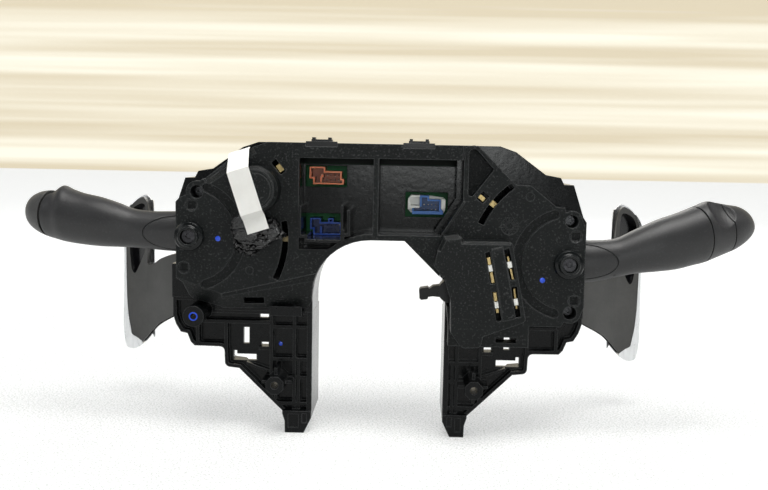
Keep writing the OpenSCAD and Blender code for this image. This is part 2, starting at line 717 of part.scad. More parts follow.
// Stations along each stalk: distance out from the middle, height of its axis, half height
left_stations = [[114, 84.5, 11.8], [122, 84.5, 11.5], [132, 84.8, 11.1], [142, 85.6, 11.3],
    [151, 87.2, 12.8], [162, 88.8, 14.4], [173, 90.2, 15.1], [180, 91.6, 15.8], [185.5, 93, 16.4],
    [190.5, 92.2, 14.5], [196, 92.6, 13.6], [201, 93, 12.2], [206, 93.2, 9.6], [209.5, 93.2, 5.9],
    [211, 93.2, 1.5]];
right_stations = [[116, 72.2, 12.2], [123, 72.4, 12.1], [131, 73.3, 11.6], [138, 74.8, 11.4],
    [148, 78.4, 12.8], [160, 81.8, 15], [172, 84.6, 16.4], [182, 87.8, 17.2], [189, 90, 17.7],
    [195, 90.8, 16.2], [202, 91.6, 14.3], [208, 92.4, 12.7], [213, 92.9, 10.3], [217, 93, 7.2],
    [219.6, 92.8, 3.8], [220.6, 92.6, 1.2]];

function stalk_depth(x) = stalk_y + stalk_bend * pow(max(x - 120, 0), 2);

// Catmull-Rom point between b and c
function spline(a, b, c, d, t) =
    0.5 * (2 * b + (c - a) * t + (2 * a - 5 * b + 4 * c - d) * t * t + (3 * b - 3 * c + d - a) * t * t * t);

function smooth_stations(s, n) =
    let (last = len(s) - 1)
    concat([for (i = [0:last - 1], k = [0:n - 1])
        spline(s[max(i - 1, 0)], s[i], s[i + 1], s[min(i + 2, last)], k / n)], [s[last]]);

// Oval sections along the stations, joined into one smooth skin
module loft(stations, grow = 0) {
    s = smooth_stations(stations, 2);
    n = 28;
    pts = [for (q = s, k = [0:n - 1]) let (a = 360 * k / n, h = q[2] + grow)
        [q[0], stalk_depth(q[0]) + h * stalk_depth_ratio * cos(a), q[1] + h * sin(a)]];
    sides = [for (i = [0:len(s) - 2], k = [0:n - 1])
        [i * n + k, (i + 1) * n + k, (i + 1) * n + (k + 1) % n, i * n + (k + 1) % n]];
    polyhedron(pts, concat([[for (k = [0:n - 1]) k]], sides,
        [[for (k = [n - 1:-1:0]) (len(s) - 1) * n + k]]));
}

// Frames whose X axis runs out along the tip of each stalk, from the first seam
tip_lean = 22;
left_tip = [193, stalk_depth(193), 92.2];
left_tip_rise = 4;
right_tip = [184, stalk_depth(184), 88.4];
right_tip_rise = 12;

module tip_frame(p, rise) translate(p) rotate([0, -rise, tip_lean]) children();

// Everything on the far side of a plane across the tip
module beyond(p, rise, x0, x1 = 90) tip_frame(p, rise) translate([x0, -50, -50]) cube([x1 - x0, 100, 100]);

// Oval inlay at the root of a stalk, on its rear side
module inlay_shape(p, grow) translate([p[0] + 9, 0, p[1]]) slab(-10, stalk_y - 6)
    polygon([for (a = [0:10:350]) [(21 + grow) * cos(a), (9.8 + grow) * sin(a)]]);

module socket(p, gap) translate([p[0], 0, p[1]])
    box(7, 30 + gap, stalk_y - root_half_y - gap, stalk_y + root_half_y + gap,
        -root_half_z - gap, root_half_z + gap);

root_half_y = 6;
root_half_z = 7.6;

module stalk_body(stations, p) difference() {
    loft(stations);
    socket(p, seat_gap);
    difference() {
        inlay_shape(p, seat_gap);
        translate([0, inlay_t, 0]) loft(stations);
    }
}
inlay_t = 1.6;

module stalk_insert(stations, p) difference() {
    intersection() {
        loft(stations);
        inlay_shape(p, -seat_gap);
    }
    translate([0, inlay_t - seat_gap, 0]) loft(stations);
}

// The root that swings on the pull pin and fills the socket of the stalk
module stalk_root() difference() {
    union() {
        translate([pull_x, stalk_y, -lug_z + side_gap]) cylinder(r = eye_r, h = 2 * (lug_z - side_gap));
        box(pull_x, 29.5, stalk_y - root_half_y, stalk_y + root_half_y, -root_half_z, root_half_z);
    }
    translate([pull_x, stalk_y, -lug_z]) cylinder(r = pull_pin_d / 2 + running_gap, h = 2 * lug_z);
}

module along(x0, x1, r) translate([x0, 0, 0]) rotate([0, 90, 0]) cylinder(r = r, h = x1 - x0);

bush_r = button_stem_d / 2 + 2;
button_gap = button_travel + 0.3;
bush_x = -20;
bush_floor = 5;

module left_body() difference() {
    stalk_body(left_stations, left_pivot);
    beyond(left_tip, left_tip_rise, 0);
    tip_frame(left_tip, left_tip_rise) along(bush_x - seat_gap, 5, bush_r + seat_gap);
}

module button_bush() tip_frame(left_tip, left_tip_rise) difference() {
    along(bush_x, -1.5, bush_r);
    along(bush_x + bush_floor, 5, button_stem_d / 2 + running_gap);
}

module button_spring() tip_frame(left_tip, left_tip_rise)
    translate([bush_x + bush_floor, 0, 0]) rotate([0, 90, 0])
        coil(3.4, 0.4, 5, -bush_x - bush_floor - button_travel - 0.4);

module tip_button() {
    intersection() {
        loft(left_stations);
        beyond(left_tip, left_tip_rise, button_gap);
    }
    tip_frame(left_tip, left_tip_rise) difference() {
        along(-12, button_gap, button_stem_d / 2);
        along(-13, 0, button_stem_d / 2 - 1.6);
    }
}

knob_bore = knob_shaft_d / 2 + running_gap;
shaft_x0 = -18;
shaft_x1 = ring_length + 9;

module right_body() difference() {
    stalk_body(right_stations, right_pivot);
    beyond(right_tip, right_tip_rise, 0);
    tip_frame(right_tip, right_tip_rise) along(shaft_x0 - seat_gap, 5, knob_shaft_d / 2 + seat_gap);
}

module knob_shaft() tip_frame(right_tip, right_tip_rise) along(shaft_x0, shaft_x1, knob_shaft_d / 2);

module ring() difference() {
    intersection() {
        loft(right_stations);
        beyond(right_tip, right_tip_rise, knob_seam, ring_length);
    }
    tip_frame(right_tip, right_tip_rise) along(-1, ring_length + 1, knob_bore);
    thumb_scoop();
}

// Hollow for the thumb, in the ring and the rim of the knob
module thumb_scoop() tip_frame(right_tip, right_tip_rise)
    translate([scoop_x, 0, 0]) rotate([45, 0, 0]) translate([0, 0, 17.9])
        scale([9, 13, 7]) sphere(1, $fn = 30);
scoop_x = 12.4;

module knob() difference() {
    intersection() {
        loft(right_stations);
        beyond(right_tip, right_tip_rise, ring_length + knob_seam);
    }
    tip_frame(right_tip, right_tip_rise) along(ring_length - 1, shaft_x1 + 0.3, knob_bore);
    thumb_scoop();
}

// ---------- Paddles, drawn for the right side ----------

module on_side(s) mirror([s < 0 ? 1 : 0, 0, 0]) children();

paddle_root_x = 112;
paddle_rise = 27;
eye_z = [46.3, 62];
paddle_eye_r = pin_r + 2.5;

function ease(t) = t * t * (3 - 2 * t);
function paddle_rear(x) =
    y_pin - 4 + paddle_rise * ease(max(0, min(1, (x - paddle_root_x) / (paddle_reach - paddle_root_x))));

// A curved band that follows the rear of the blade, from depth a to depth b
module paddle_band(a, b, x0, x1) {
    n = 14;
    translate([0, 0, -5]) linear_extrude(115) polygon(concat(
        [for (i = [0:n]) let (x = x0 + (x1 - x0) * i / n) [x, paddle_rear(x) + a]],
        [for (i = [n:-1:0]) let (x = x0 + (x1 - x0) * i / n) [x, paddle_rear(x) + b]]));
}

// A share of the way from the root of a paddle to its outer edge
function out(share) = paddle_root_x + share * (paddle_reach - paddle_root_x);
finger_x = paddle_reach - 15.6;

paddle_outline = [
    [paddle_pin_x + 2, eye_z[1]], [paddle_pin_x + 2, eye_z[0]], [paddle_pin_x + 7.5, eye_z[0]],
    [out(0.055), 40], [out(0.22), 30.5], [out(0.435), 23.4], [out(0.565), 18.6], [out(0.69), 11.6],
    [out(0.8), 5], [out(0.89), 2.2], [paddle_reach - 1.5, 3.4], [paddle_reach, 16],
    [paddle_reach - 0.6, 40], [paddle_reach - 1, 62], [paddle_reach - 1, 80], [paddle_reach - 2, 89],
    [paddle_reach - 5, 95.2], [paddle_reach - 9, 98.8], [paddle_reach - 13.6, 100.8],
    [finger_x - 0.8, 98], [finger_x - 2.4, 92], [finger_x - 3, 80], [finger_x - 2.2, 70],
    [finger_x - 0.2, 64], [out(0.62), 66.6], [out(0.47), 68.6], [out(0.25), 69.2],
    [paddle_pin_x + 5.5, 69.2], [paddle_pin_x + 5.5, eye_z[1]]];

// Hollow in the rear of the upper finger
finger_hollow = [for (p = [[0.4, 95], [-0.4, 80], [0.6, 67], [4.6, 58], [8, 51.6], [9.6, 51.2], [11, 54],
    [12, 64], [12, 86], [9.2, 93.4], [3.6, 96.6]]) [finger_x + p[0], p[1]]];

module paddle() difference() {
    union() {
        intersection() {
            paddle_band(0, paddle_t, paddle_pin_x + 1, paddle_reach + 1);
            slab(40, 110) polygon(paddle_outline);
        }
        translate([paddle_pin_x, y_pin, eye_z[0]]) cylinder(r = paddle_eye_r, h = eye_z[1] - eye_z[0]);
        // tail that works the switch
        box(paddle_pin_x - 16, paddle_pin_x, y_pin + 1.8, y_pin + 4.2, 50, 60);
    }
    translate([paddle_pin_x, y_pin, eye_z[0] - 1])
        cylinder(r = pin_r + running_gap, h = eye_z[1] - eye_z[0] + 2);
    intersection() {
        paddle_band(-2, paddle_t - 2, finger_x - 6, paddle_reach + 1);
        slab(40, 110) polygon(finger_hollow);
    }
}

// Metal skin over the driver's side and the outer edge of a paddle
module paddle_trim() difference() {
    intersection() {
        paddle_band(2, paddle_t + trim_t, finger_x - 4, paddle_reach + trim_t);
        slab(40, 115) polygon(inset(paddle_outline, -trim_t));
    }
    intersection() {
        paddle_band(-5, paddle_t, finger_x - 11, paddle_reach + 1);
        slab(40, 115) polygon(paddle_outline);
    }
}

module paddle_pins() color(steel) for (s = [-1, 1]) on_side(s)
    translate([paddle_pin_x, y_pin, lug_low[0]]) cylinder(r = pin_r, h = lug_high[1] - lug_low[0]);

module paddle_springs() color(steel) for (s = [-1, 1]) on_side(s)
    translate([paddle_pin_x, y_pin, eye_z[1] + 0.6])
        coil(pin_r + 1, 0.5, 5, lug_high[0] - eye_z[1] - 0.6);

module paddle_switches() color([0.15, 0.15, 0.16]) for (s = [-1, 1]) on_side(s) {
    box(paddle_pin_x - 19, paddle_pin_x - 7.5, y_face, y_pin - 1, 49, 61);
    post([paddle_pin_x - 13, 55], 1.5, y_pin - 1.5, y_pin + 0.4);
}

// ---------- Connectors ----------

connector_y = y_pocket - 0.5;
plug_wall = 0.9;
plug_floor = 3;

// Corner of each plug mouth, and the stepped outline that keys it
orange_at = [-40.2, 113.4];
blue_at = [-39.6, 84];
white_at = [16.9, 97.2];
orange_shape = [[0, 3.2], [2.1, 3.2], [2.1, 0], [19.8, 0], [19.8, 3.4], [18.6, 3.4], [18.6, 7.6], [9, 7.6],
    [9, 10], [0, 10]];
blue_shape = [[0, 3.2], [1.8, 3.2], [1.8, 0], [18.2, 0], [18.2, 7.5], [13.6, 7.5], [13.6, 9.8],
    [10.4, 9.8], [10.4, 7.5], [6.2, 7.5], [6.2, 9.8], [0, 9.8]];
core_shape = [[2.4, 0], [20.4, 0], [20.4, 1.9], [19, 3.4], [19, 8.8], [12.2, 8.8], [12.2, 11], [6.8, 11],
    [6.8, 3.4], [2.4, 3.4]];

module at(p, y0, y1) translate([p[0], 0, p[1]]) slab(y0, y1) children();

// An open socket: a wall round a stepped outline, a floor, and two partitions
module plug_shell(p, shape, ribs) {
    difference() {
        at(p, connector_y, y_board) polygon(shape);
        at(p, connector_y - 1, y_board - plug_floor) polygon(inset(shape, plug_wall));
        pin_field(p, seat_gap);
    }
    for (r = ribs) at(p, connector_y + 1.5, y_board - plug_floor + 0.5)
        translate([r[0], r[1]]) square([r[2], r[3]]);
}

module orange_connector() color([0.85, 0.28, 0.16])
    plug_shell(orange_at, orange_shape, [[6, 0.5, 1, 4], [6.5, 3.9, 1.4, 1.6]]);

module blue_connector() color([0.12, 0.25, 0.65])
    plug_shell(blue_at, blue_shape, [[5.6, 0.5, 1.2, 4.4], [11.4, 6.4, 1.2, 1.6]]);

// Natural end walls with rounded corners, on a base that the blue core stands on
module white_connector() color([0.88, 0.88, 0.86]) difference() {
    at(white_at, connector_y, y_board)
        polygon([[1.6, 0.4], [20.8, 0.4], [21.6, 2.2], [21.6, 8.6], [20.6, 9.4], [7.6, 11],
            [1.8, 11], [0, 8.8], [0, 2.6]]);
    at(white_at, connector_y - 1, y_board - plug_floor) difference() {
        translate([-1, -1]) square([21.8, 14]);
        polygon([[6.6, 9.8], [1.6, 9.8], [1.6, 5], [6.6, 5], [6.6, 3.6], [2.2, 3.6], [0.1, 2.6], [-1, 8.8],
            [1.8, 12], [6.6, 12]]);
        polygon([[19.2, 3.6], [20.6, 2.2], [22, 2.2], [22, 9], [19.2, 9]]);
    }
    at(white_at, connector_y - 1, connector_y + 4) polygon([[20.6, 0], [23, 0], [23, 3.8], [20.6, 3.8]]);
    pin_field(white_at, seat_gap);
}

module white_connector_core() color([0.2, 0.4, 0.75]) difference() {
    at(white_at, connector_y, y_board - plug_floor) polygon(inset(core_shape, seat_gap));
    at(white_at, connector_y - 1, y_board - plug_floor - 2) {
        polygon([[3.4, 1.9], [18, 1.9], [18, 7.7], [11.2, 7.7], [11.2, 9.8], [7.9, 9.8],
            [7.9, 4.4], [3.4, 4.4]]);
    }
    pin_field(white_at, seat_gap);
}

// Two rows of contact pins in the floor of a socket
module pin_field(p, gap = 0) for (i = [0:3], z = [2.4, 5.2]) {
    x = 9.4 + i * 2.3;
    at(p, y_board - 6, y_board + gap) translate([x - 0.3 - gap, z - 0.3 - gap]) square(0.6 + 2 * gap);
}

module connector_pins() color(brass) for (p = [orange_at, blue_at, white_at]) pin_field(p);

// The guide that stands round the blue socket, from the pocket floor to the rear face
shroud_y = cover_y - 3;
shroud_t = 1.4;
module connector_shroud() color(glossy) slab(shroud_y, y_pocket) difference() {
    polygon([[-43.3, 84.6], [-39.8, 84.6], [-39.8, 82.2], [-17.8, 82.2], [-17.8, 85.8], [-14.8, 85.8],
        [-14.8, 100.4], [-16.4, 100.4], [-16.4, 87.4], [-17.8, 87.4], [-17.8, 89.6], [-18.6, 89.6],
        [-18.6, 103.2], [-20, 103.2], [-20, 83.8], [-39.8 + shroud_t, 83.8], [-39.8 + shroud_t, 86.2],
        [-43.3 + shroud_t, 86.2], [-43.3 + shroud_t, 102.4], [-43.3, 102.4]]);
    difference() {
        translate([-50, 70]) square([40, 22]);
        polygon(inset(left_pocket, seat_gap));
    }
}

// ---------- Contact unit on the right plate ----------

contact_y = -10;
contact_outline = concat([
    [33.4, 79.6], [31.9, 71.4], [37.6, 64.6], [41.4, 52.6], [41.8, 35], [46.6, 28.2]],
    arc([49.6, 29.4], 2.8, 215, 275, 3), arc([56, 29.6], 2.8, 285, 350, 3),
    [[59.6, 33.2], [80.6, 41.2]], arc([80.4, 43.4], 2, -60, 10, 3),
    [[74.9, 79.6]], arc([72.2, 83.6], 2, 15, 95, 3),
    [[48, 85.4], [46.6, 87.6]], arc([43.6, 86.6], 2.4, 20, 95, 3), [[36.8, 87.8]]);

// Slots through the top of the contact cover: start, end, width, place of the roller along it,
// and the contact strips in it, each with its start, its end and its width
contact_slots = [
    [[60.5, 79.8], [64.3, 62.6], 2.8, 0.51, [[0.17, 0.4, 1.8], [0.64, 0.97, 1.6]]],
    [[65, 58.4], [68, 42.2], 2.8, 0.46, [[0.04, 0.33, 1.8], [0.59, 0.73, 1.5]]],
    [[70.6, 81.7], [74.9, 65], 3, 0.51, [[0.24, 0.4, 1], [0.64, 0.99, 1]]],
    [[75.5, 61.1], [78.2, 44.5], 3, 0.5, [[0.06, 0.38, 1], [0.62, 0.72, 1]]]];
roller_l = 3.4;

// A bar along part of a slot, from one share of its length to another
module slot_bar(a, b, from, to, w, y0, y1)
    translate([a[0], 0, a[1]]) rotate([0, -atan2(b[1] - a[1], b[0] - a[0]), 0])
        box(norm(b - a) * from, norm(b - a) * to, y0, y1, -w / 2, w / 2);

module contact_cover() color(grained) difference() {
    union() {
        slab(contact_y, cover_y) polygon(contact_outline);
        // raised bar between the two columns of slots
        difference() {
            slab(contact_y - bar_h, contact_y + 1)
                polygon([[62.6, 81.6], [68.6, 83], [77, 43.9], [69.9, 42.2]]);
            translate([66.5, contact_y - bar_h, 80.4]) rotate([0, 13, 0]) rotate([-25, 0, 0])
                translate([-6, -5, 0]) cube([12, 5, 9]);
        }
    }
    edge_chamfers();
    slab(contact_y + contact_wall, cover_y + 1) polygon(inset(contact_outline, contact_wall));
    for (r = contact_slots) slot_bar(r[0], r[1], 0, 1, r[2], contact_y - 3, contact_y + 3);
}
contact_wall = 1.8;
bar_h = 1.6;

// Bevels along the top and the lower right edges of the contact cover
module edge_chamfers()
    for (e = [[[73, 85.6], [46.4, 85.4], 1.6], [[45.6, 89], [36.4, 88], 2.4],
        [[33.2, 80.4], [36.9, 88], 2.2]])
        translate([e[0][0], contact_y, e[0][1]])
            rotate([0, -atan2(e[1][1] - e[0][1], e[1][0] - e[0][0]), 0]) rotate([45, 0, 0])
                translate([0, -e[2] * 0.7, -e[2] * 0.7]) cube([norm(e[1] - e[0]), e[2] * 1.4, e[2] * 1.4]);

module contact_blades() color(brass) for (r = contact_slots, k = r[4])
    slot_bar(r[0], r[1], k[0], k[1], k[2], contact_y + 0.9, cover_y);

module contact_rollers() color(natural) for (r = contact_slots) {
    half = roller_l / 2 / norm(r[1] - r[0]);
    slot_bar(r[0], r[1], r[3] - half, r[3] + half, r[2] - 0.7, contact_y + 0.4, cover_y);
}

// Small brass tabs seen through the slanted holes in the covers, on posts of the pocket walls
module terminal_tabs() color(brass) {
    translate([-55.2, 0, 123.3]) rotate([0, 50, 0]) box(-1.4, 3, y_in + 0.2, y_seam, -1.4, 1.4);
    translate([58.2, 0, 108.8]) rotate([0, 38, 0]) box(-1.8, 1.8, y_in + 0.2, y_seam, -1.8, 0.6);
}

// ---------- Small pieces on the rear face ----------

drum_centre = [-66.2, 111.1];
drum_r = 12.8;
drum_h = 15;

module sensor_drum() color(grained)
    translate([drum_centre[0], cover_y, drum_centre[1]]) rotate([90, 0, 0]) rotate_extrude() polygon([
        [0, 0], [drum_r, 0], [drum_r, drum_h - 2.2], [drum_r - 1.8, drum_h], [drum_r - 2.6, drum_h],
        [drum_r - 2.6, drum_h - 0.5], [drum_r - 3.6, drum_h - 0.5], [drum_r - 3.6, drum_h], [0, drum_h]]);

clip_h = 12;
module retaining_clip() color(glossy) {
    slab(cover_y - clip_h, cover_y - 4.5) polygon([[-78, 95.5], [-78.6, 90], [-76.4, 82], [-73, 75.6],
        [-67, 74.4], [-60, 80.6], [-52.6, 86.8], [-55, 94], [-58, 98], [-60.6, 97.2], [-66.2, 98],
        [-72, 98.8]]);
    slab(cover_y - 4.5, cover_y) polygon([[-76, 93], [-74, 84], [-68, 78], [-57, 88], [-60, 96], [-70, 97]]);
}

// Blank strip of tape: over the upper edge of the cover, across the drum, down to the clip.
// Each point is a distance down the strip and the depth of its under side.
tape_w = 12.2;
tape_t = 0.4;
drum_top = cover_y - drum_h;
clip_top = cover_y - clip_h;
tape_top = [-78.1, 131.8];
tape_path = [[-0.4, y_seam - 3], [0.8, cover_y + 4.4], [10.6, drum_top - 0.1],
    [35, drum_top - 0.1], [38, clip_top - 0.1], [45.6, clip_top - 0.1]];

module tape_strip() color([0.93, 0.92, 0.9])
    translate([tape_top[0], 0, tape_top[1]]) rotate([0, 72, 0]) translate([0, 0, -tape_w / 2])
        linear_extrude(tape_w) polygon(concat(tape_path, back([for (p = tape_path) p - [0, tape_t]])));

// Hooks over the rear edge, with a base, a block and two prongs on top
module top_clips() color([0.13, 0.13, 0.14]) for (x = [-40, 13.7]) {
    box(x, x + clip_w, cover_y, cover_y + clip_t, top_z - 2, top_z + 0.8);
    box(x + 1, x + clip_w - 1, cover_y, cover_y + 11, top_z, top_z + 0.8);
    box(x + 3, x + clip_w - 3, cover_y + 1, cover_y + 8, top_z, top_z + 1.9);
    for (k = [3.4, clip_w - 5.2]) box(x + k, x + k + 1.8, cover_y + 0.6, cover_y + 6, top_z, top_z + 3);
}

module housing_screws() color(steel) for (w = [well_left, well_right, well_low]) difference() {
    union() {
        post(w, well_r - 0.5, y_seam - well_floor - 2.4, y_seam - well_floor);
        post(w, screw_r - 0.05, y_seam - well_floor - 1, y_seam + 18);
    }
    slab(y_seam - well_floor - 3, y_seam - well_floor - 1)
        translate(w) for (a = [0, 60]) rotate(a) circle(1.8, $fn = 3);
}

module paint_dots() color([0.1, 0.25, 0.85]) {
    for (p = [[-88.8, 82.7], [92.5, 63.4]]) post(p, 1.5, cover_y - 0.15, cover_y);
    post([-leg_x + 0.4, 19.6], 1.2, y_web - 0.15, y_web);
    difference() {
        post([-upper_boss_x, upper_boss_z], 3, -0.15, 0);
        post([-upper_boss_x, upper_boss_z], fixing_hole_d / 2 + 0.05, -1, 1);
    }
}

// Sprung finger that the column cam strikes, on its post at the right of the arch
module cancel_finger() color(glossy) translate([cancel_pivot[0], 0, cancel_pivot[1]]) difference() {
    union() {
        post([0, 0], 6.6, y_in - 1, y_seam - 1);
        slab(y_in, y_seam - 2) polygon([[0, 3.8], [-9.6, 2.6], [-11.6, 1], [-12.4, 1.9], [-16.6, 1.2],
            [-17.4, 0],
            [-17, -4.6], [-16, -5.4], [-12.6, -4.9], [-12, -3.6], [-9.6, -3.2], [0, -4]]);
    }
    post([0, 0], cancel_pin_r + running_gap, 0, y_seam);
}

module left(c) color(c) place(-1) children();
module right(c) color(c) place(1) children();

module left_tilt_carrier() left(natural) tilt_carrier(left_wiper_angle);
module left_pivot_collar() left(smooth) pivot_collar();
module left_pivot_screw() left(steel) pivot_screw();
module left_wiper() left(brass) wiper(left_wiper_angle);
module left_pull_pin() left(steel) pull_pin();
module left_detent_spring() left(steel) detent_spring();
module left_detent_plunger() left(natural) detent_plunger();
module left_stalk_root() left(glossy) stalk_root();
module right_tilt_carrier() right(natural) tilt_carrier(right_wiper_angle);
module right_pivot_collar() right(smooth) pivot_collar();
module right_pivot_screw() right(steel) pivot_screw();
module right_wiper() right(brass) wiper(right_wiper_angle);
module right_pull_pin() right(steel) pull_pin();
module right_detent_spring() right(steel) detent_spring();
module right_detent_plunger() right(natural) detent_plunger();
module right_stalk_root() right(glossy) stalk_root();
module left_stalk_body() color(smooth) on_side(-1) left_body();
module left_stalk_insert() color(smooth) on_side(-1) stalk_insert(left_stations, left_pivot);
module left_button_bush() color(glossy) on_side(-1) button_bush();
module left_button_spring() color(steel) on_side(-1) button_spring();
module left_tip_button() color(smooth) on_side(-1) tip_button();
module right_stalk_body() color(smooth) right_body();
module right_stalk_insert() color(smooth) stalk_insert(right_stations, right_pivot);
module right_knob_shaft() color(steel) knob_shaft();
module right_ring() color(smooth) ring();
module right_knob() color(smooth) knob();
module left_paddle() color(warm) on_side(-1) paddle();
module left_paddle_trim() color(silver) on_side(-1) paddle_trim();
module right_paddle() color(warm) on_side(1) paddle();
module right_paddle_trim() color(silver) on_side(1) paddle_trim();

rear_cover();
right_switch_plate();
main_housing();
front_housing();
left_bracket();
right_bracket();
circuit_board();
orange_connector();
blue_connector();
connector_shroud();
white_connector();
white_connector_core();
connector_pins();
contact_cover();
contact_blades();
contact_rollers();
terminal_tabs();
sensor_drum();
retaining_clip();
tape_strip();
top_clips();
housing_screws();
paint_dots();
detent_tracks();
paddle_pins();
paddle_springs();
paddle_switches();
left_tilt_carrier();
left_pivot_collar();
left_pivot_screw();
left_wiper();
left_pull_pin();
left_detent_spring();
left_detent_plunger();
left_stalk_root();
left_stalk_body();
left_stalk_insert();
left_button_bush();
left_button_spring();
left_tip_button();
right_tilt_carrier();
right_pivot_collar();
right_pivot_screw();
right_wiper();
right_pull_pin();
right_detent_spring();
right_detent_plunger();
right_stalk_root();
right_stalk_body();
right_stalk_insert();
right_knob_shaft();
right_ring();
right_knob();
left_paddle();
left_paddle_trim();
right_paddle();
right_paddle_trim();
cancel_finger();
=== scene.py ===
import math
import bmesh
import bpy
import numpy as np
from mathutils import Matrix, Vector, noise


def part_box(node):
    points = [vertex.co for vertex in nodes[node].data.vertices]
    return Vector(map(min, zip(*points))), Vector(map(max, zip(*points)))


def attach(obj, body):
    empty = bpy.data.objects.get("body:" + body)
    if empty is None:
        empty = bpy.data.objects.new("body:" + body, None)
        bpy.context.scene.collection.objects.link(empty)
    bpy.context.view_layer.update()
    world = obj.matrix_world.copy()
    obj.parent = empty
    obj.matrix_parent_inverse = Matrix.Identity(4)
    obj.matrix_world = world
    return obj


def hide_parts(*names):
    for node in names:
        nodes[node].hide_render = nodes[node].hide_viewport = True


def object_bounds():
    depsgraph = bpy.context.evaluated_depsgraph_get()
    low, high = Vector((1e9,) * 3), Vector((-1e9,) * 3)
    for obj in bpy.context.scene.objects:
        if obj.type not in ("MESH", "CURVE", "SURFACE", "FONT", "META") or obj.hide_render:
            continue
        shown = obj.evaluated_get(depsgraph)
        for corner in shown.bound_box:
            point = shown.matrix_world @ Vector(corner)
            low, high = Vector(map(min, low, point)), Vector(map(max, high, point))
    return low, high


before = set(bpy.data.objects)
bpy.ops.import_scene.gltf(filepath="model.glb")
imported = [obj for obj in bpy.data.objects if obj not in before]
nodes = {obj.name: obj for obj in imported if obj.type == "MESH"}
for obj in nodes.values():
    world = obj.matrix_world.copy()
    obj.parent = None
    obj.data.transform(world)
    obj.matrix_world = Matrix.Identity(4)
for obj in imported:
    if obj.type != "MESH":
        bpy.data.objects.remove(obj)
cad_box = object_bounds()

# ---------- Camera ----------
# A hand-held view from behind the module, a little above its middle and leaning down at it.
eye = Vector((0.0176, -0.480, 0.1336))
pitch, yaw, roll = math.radians(-6.2), math.radians(1.6), math.radians(1.1)
ahead = Vector((-math.sin(yaw) * math.cos(pitch), math.cos(yaw) * math.cos(pitch),
                math.sin(pitch)))
level = Vector((math.cos(yaw), math.sin(yaw), 0))
upward = level.cross(ahead)
side = level * math.cos(roll) + upward * math.sin(roll)
top = -level * math.sin(roll) + upward * math.cos(roll)


def placed(name, data):
    """Puts a mesh, a lamp or a camera into the scene."""
    made = bpy.data.objects.new(name, data)
    bpy.context.collection.objects.link(made)
    return made


lens = bpy.data.cameras.new("camera")
lens.sensor_width = 36
lens.lens = 40.9
lens.clip_end = 60
camera = placed("camera", lens)
turn = Matrix((side, top, -ahead)).transposed().to_4x4()
camera.matrix_world = Matrix.Translation(eye) @ turn
scene = bpy.context.scene
scene.camera = camera
scene.view_settings.view_transform = "Standard"

# ---------- Floor, backdrop and light ----------
# The module stands on a white board with a fine gritty glaze. A cream cloth hangs far behind it,
# its soft level folds drawn as darker bands of painted shade. A broad ceiling lamp does most of the
# work, with four weak lamps round about.
floor_z = cad_box[0][2]


def feed(node, **inputs):
    """Sets a node's sockets to values or to other nodes' outputs; n0 means the first one."""
    for key, value in inputs.items():
        by_number = key[0] == "n" and key[1:].isdigit()
        socket = node.inputs[int(key[1:]) if by_number else key.replace("_", " ")]
        for source in value if isinstance(value, list) else [value]:
            if isinstance(source, bpy.types.NodeSocket):
                node.id_data.links.new(source, socket)
            else:
                socket.default_value = source
    return node


def add_node(tree, kind, settings=None, **inputs):
    """Adds a node with its own settings first, because they decide which sockets it has."""
    made = tree.nodes.new(kind)
    for key, value in (settings or {}).items():
        setattr(made, key, value)
    return feed(made, **inputs)


def new_paint(name, **inputs):
    """A new material, its node tree and its shader."""
    material = bpy.data.materials.new(name)
    material.use_nodes = True
    tree = material.node_tree
    return material, tree, feed(tree.nodes["Principled BSDF"], **inputs)


def two_tone(tree, source, low, high):
    """A colour that runs between two places on a pattern."""
    ramp = add_node(tree, "ShaderNodeValToRGB", Fac=source)
    for stop, (place, colour) in zip(ramp.color_ramp.elements, (low, high)):
        stop.position = place
        stop.color = (*colour, 1)
    return ramp.outputs["Color"]


def background(name, dark, light, body, glow, far_glow, scale, softness):
    """A matt surface with a level pattern; its glow shows only to the camera and in reflections."""
    material, tree, shader = new_paint(name, Roughness=0.85, Specular_IOR_Level=0.15)
    place = add_node(tree, "ShaderNodeTexCoord").outputs["Object"]
    stretch = add_node(tree, "ShaderNodeMapping", Vector=place, Scale=scale)
    pattern = add_node(tree, "ShaderNodeTexNoise", Vector=stretch.outputs["Vector"], Scale=1.0,
                       Detail=3.0, Roughness=0.55)
    colour = two_tone(tree, pattern.outputs["Fac"], (0.5 - softness, dark),
                      (0.5 + softness * 0.6, light))
    tone = add_node(tree, "ShaderNodeVectorMath", {"operation": "SCALE"}, n0=colour, Scale=body)
    rays = add_node(tree, "ShaderNodeLightPath").outputs
    seen = rays["Is Camera Ray"]
    for kind in ("Is Glossy Ray", "Is Transmission Ray"):
        seen = add_node(tree, "ShaderNodeMath", {"operation": "MAXIMUM"}, n0=seen,
                        n1=rays[kind]).outputs[0]
    away = add_node(tree, "ShaderNodeVectorMath", {"operation": "LENGTH"}, n0=place)
    distance = add_node(tree, "ShaderNodeMapRange", Value=away.outputs["Value"], From_Min=0.3,
                        From_Max=1.4, To_Min=glow, To_Max=far_glow)
    amount = add_node(tree, "ShaderNodeMath", {"operation": "MULTIPLY"}, n0=seen,
                      n1=distance.outputs["Result"])
    feed(shader, Base_Color=tone.outputs["Vector"], Emission_Color=colour,
         Emission_Strength=amount.outputs[0])
    return material


def board(name, corners, material):
    mesh = bpy.data.meshes.new(name)
    mesh.from_pydata(corners, [], [(0, 1, 2, 3)])
    mesh.materials.append(material)
    piece = placed(name, mesh)


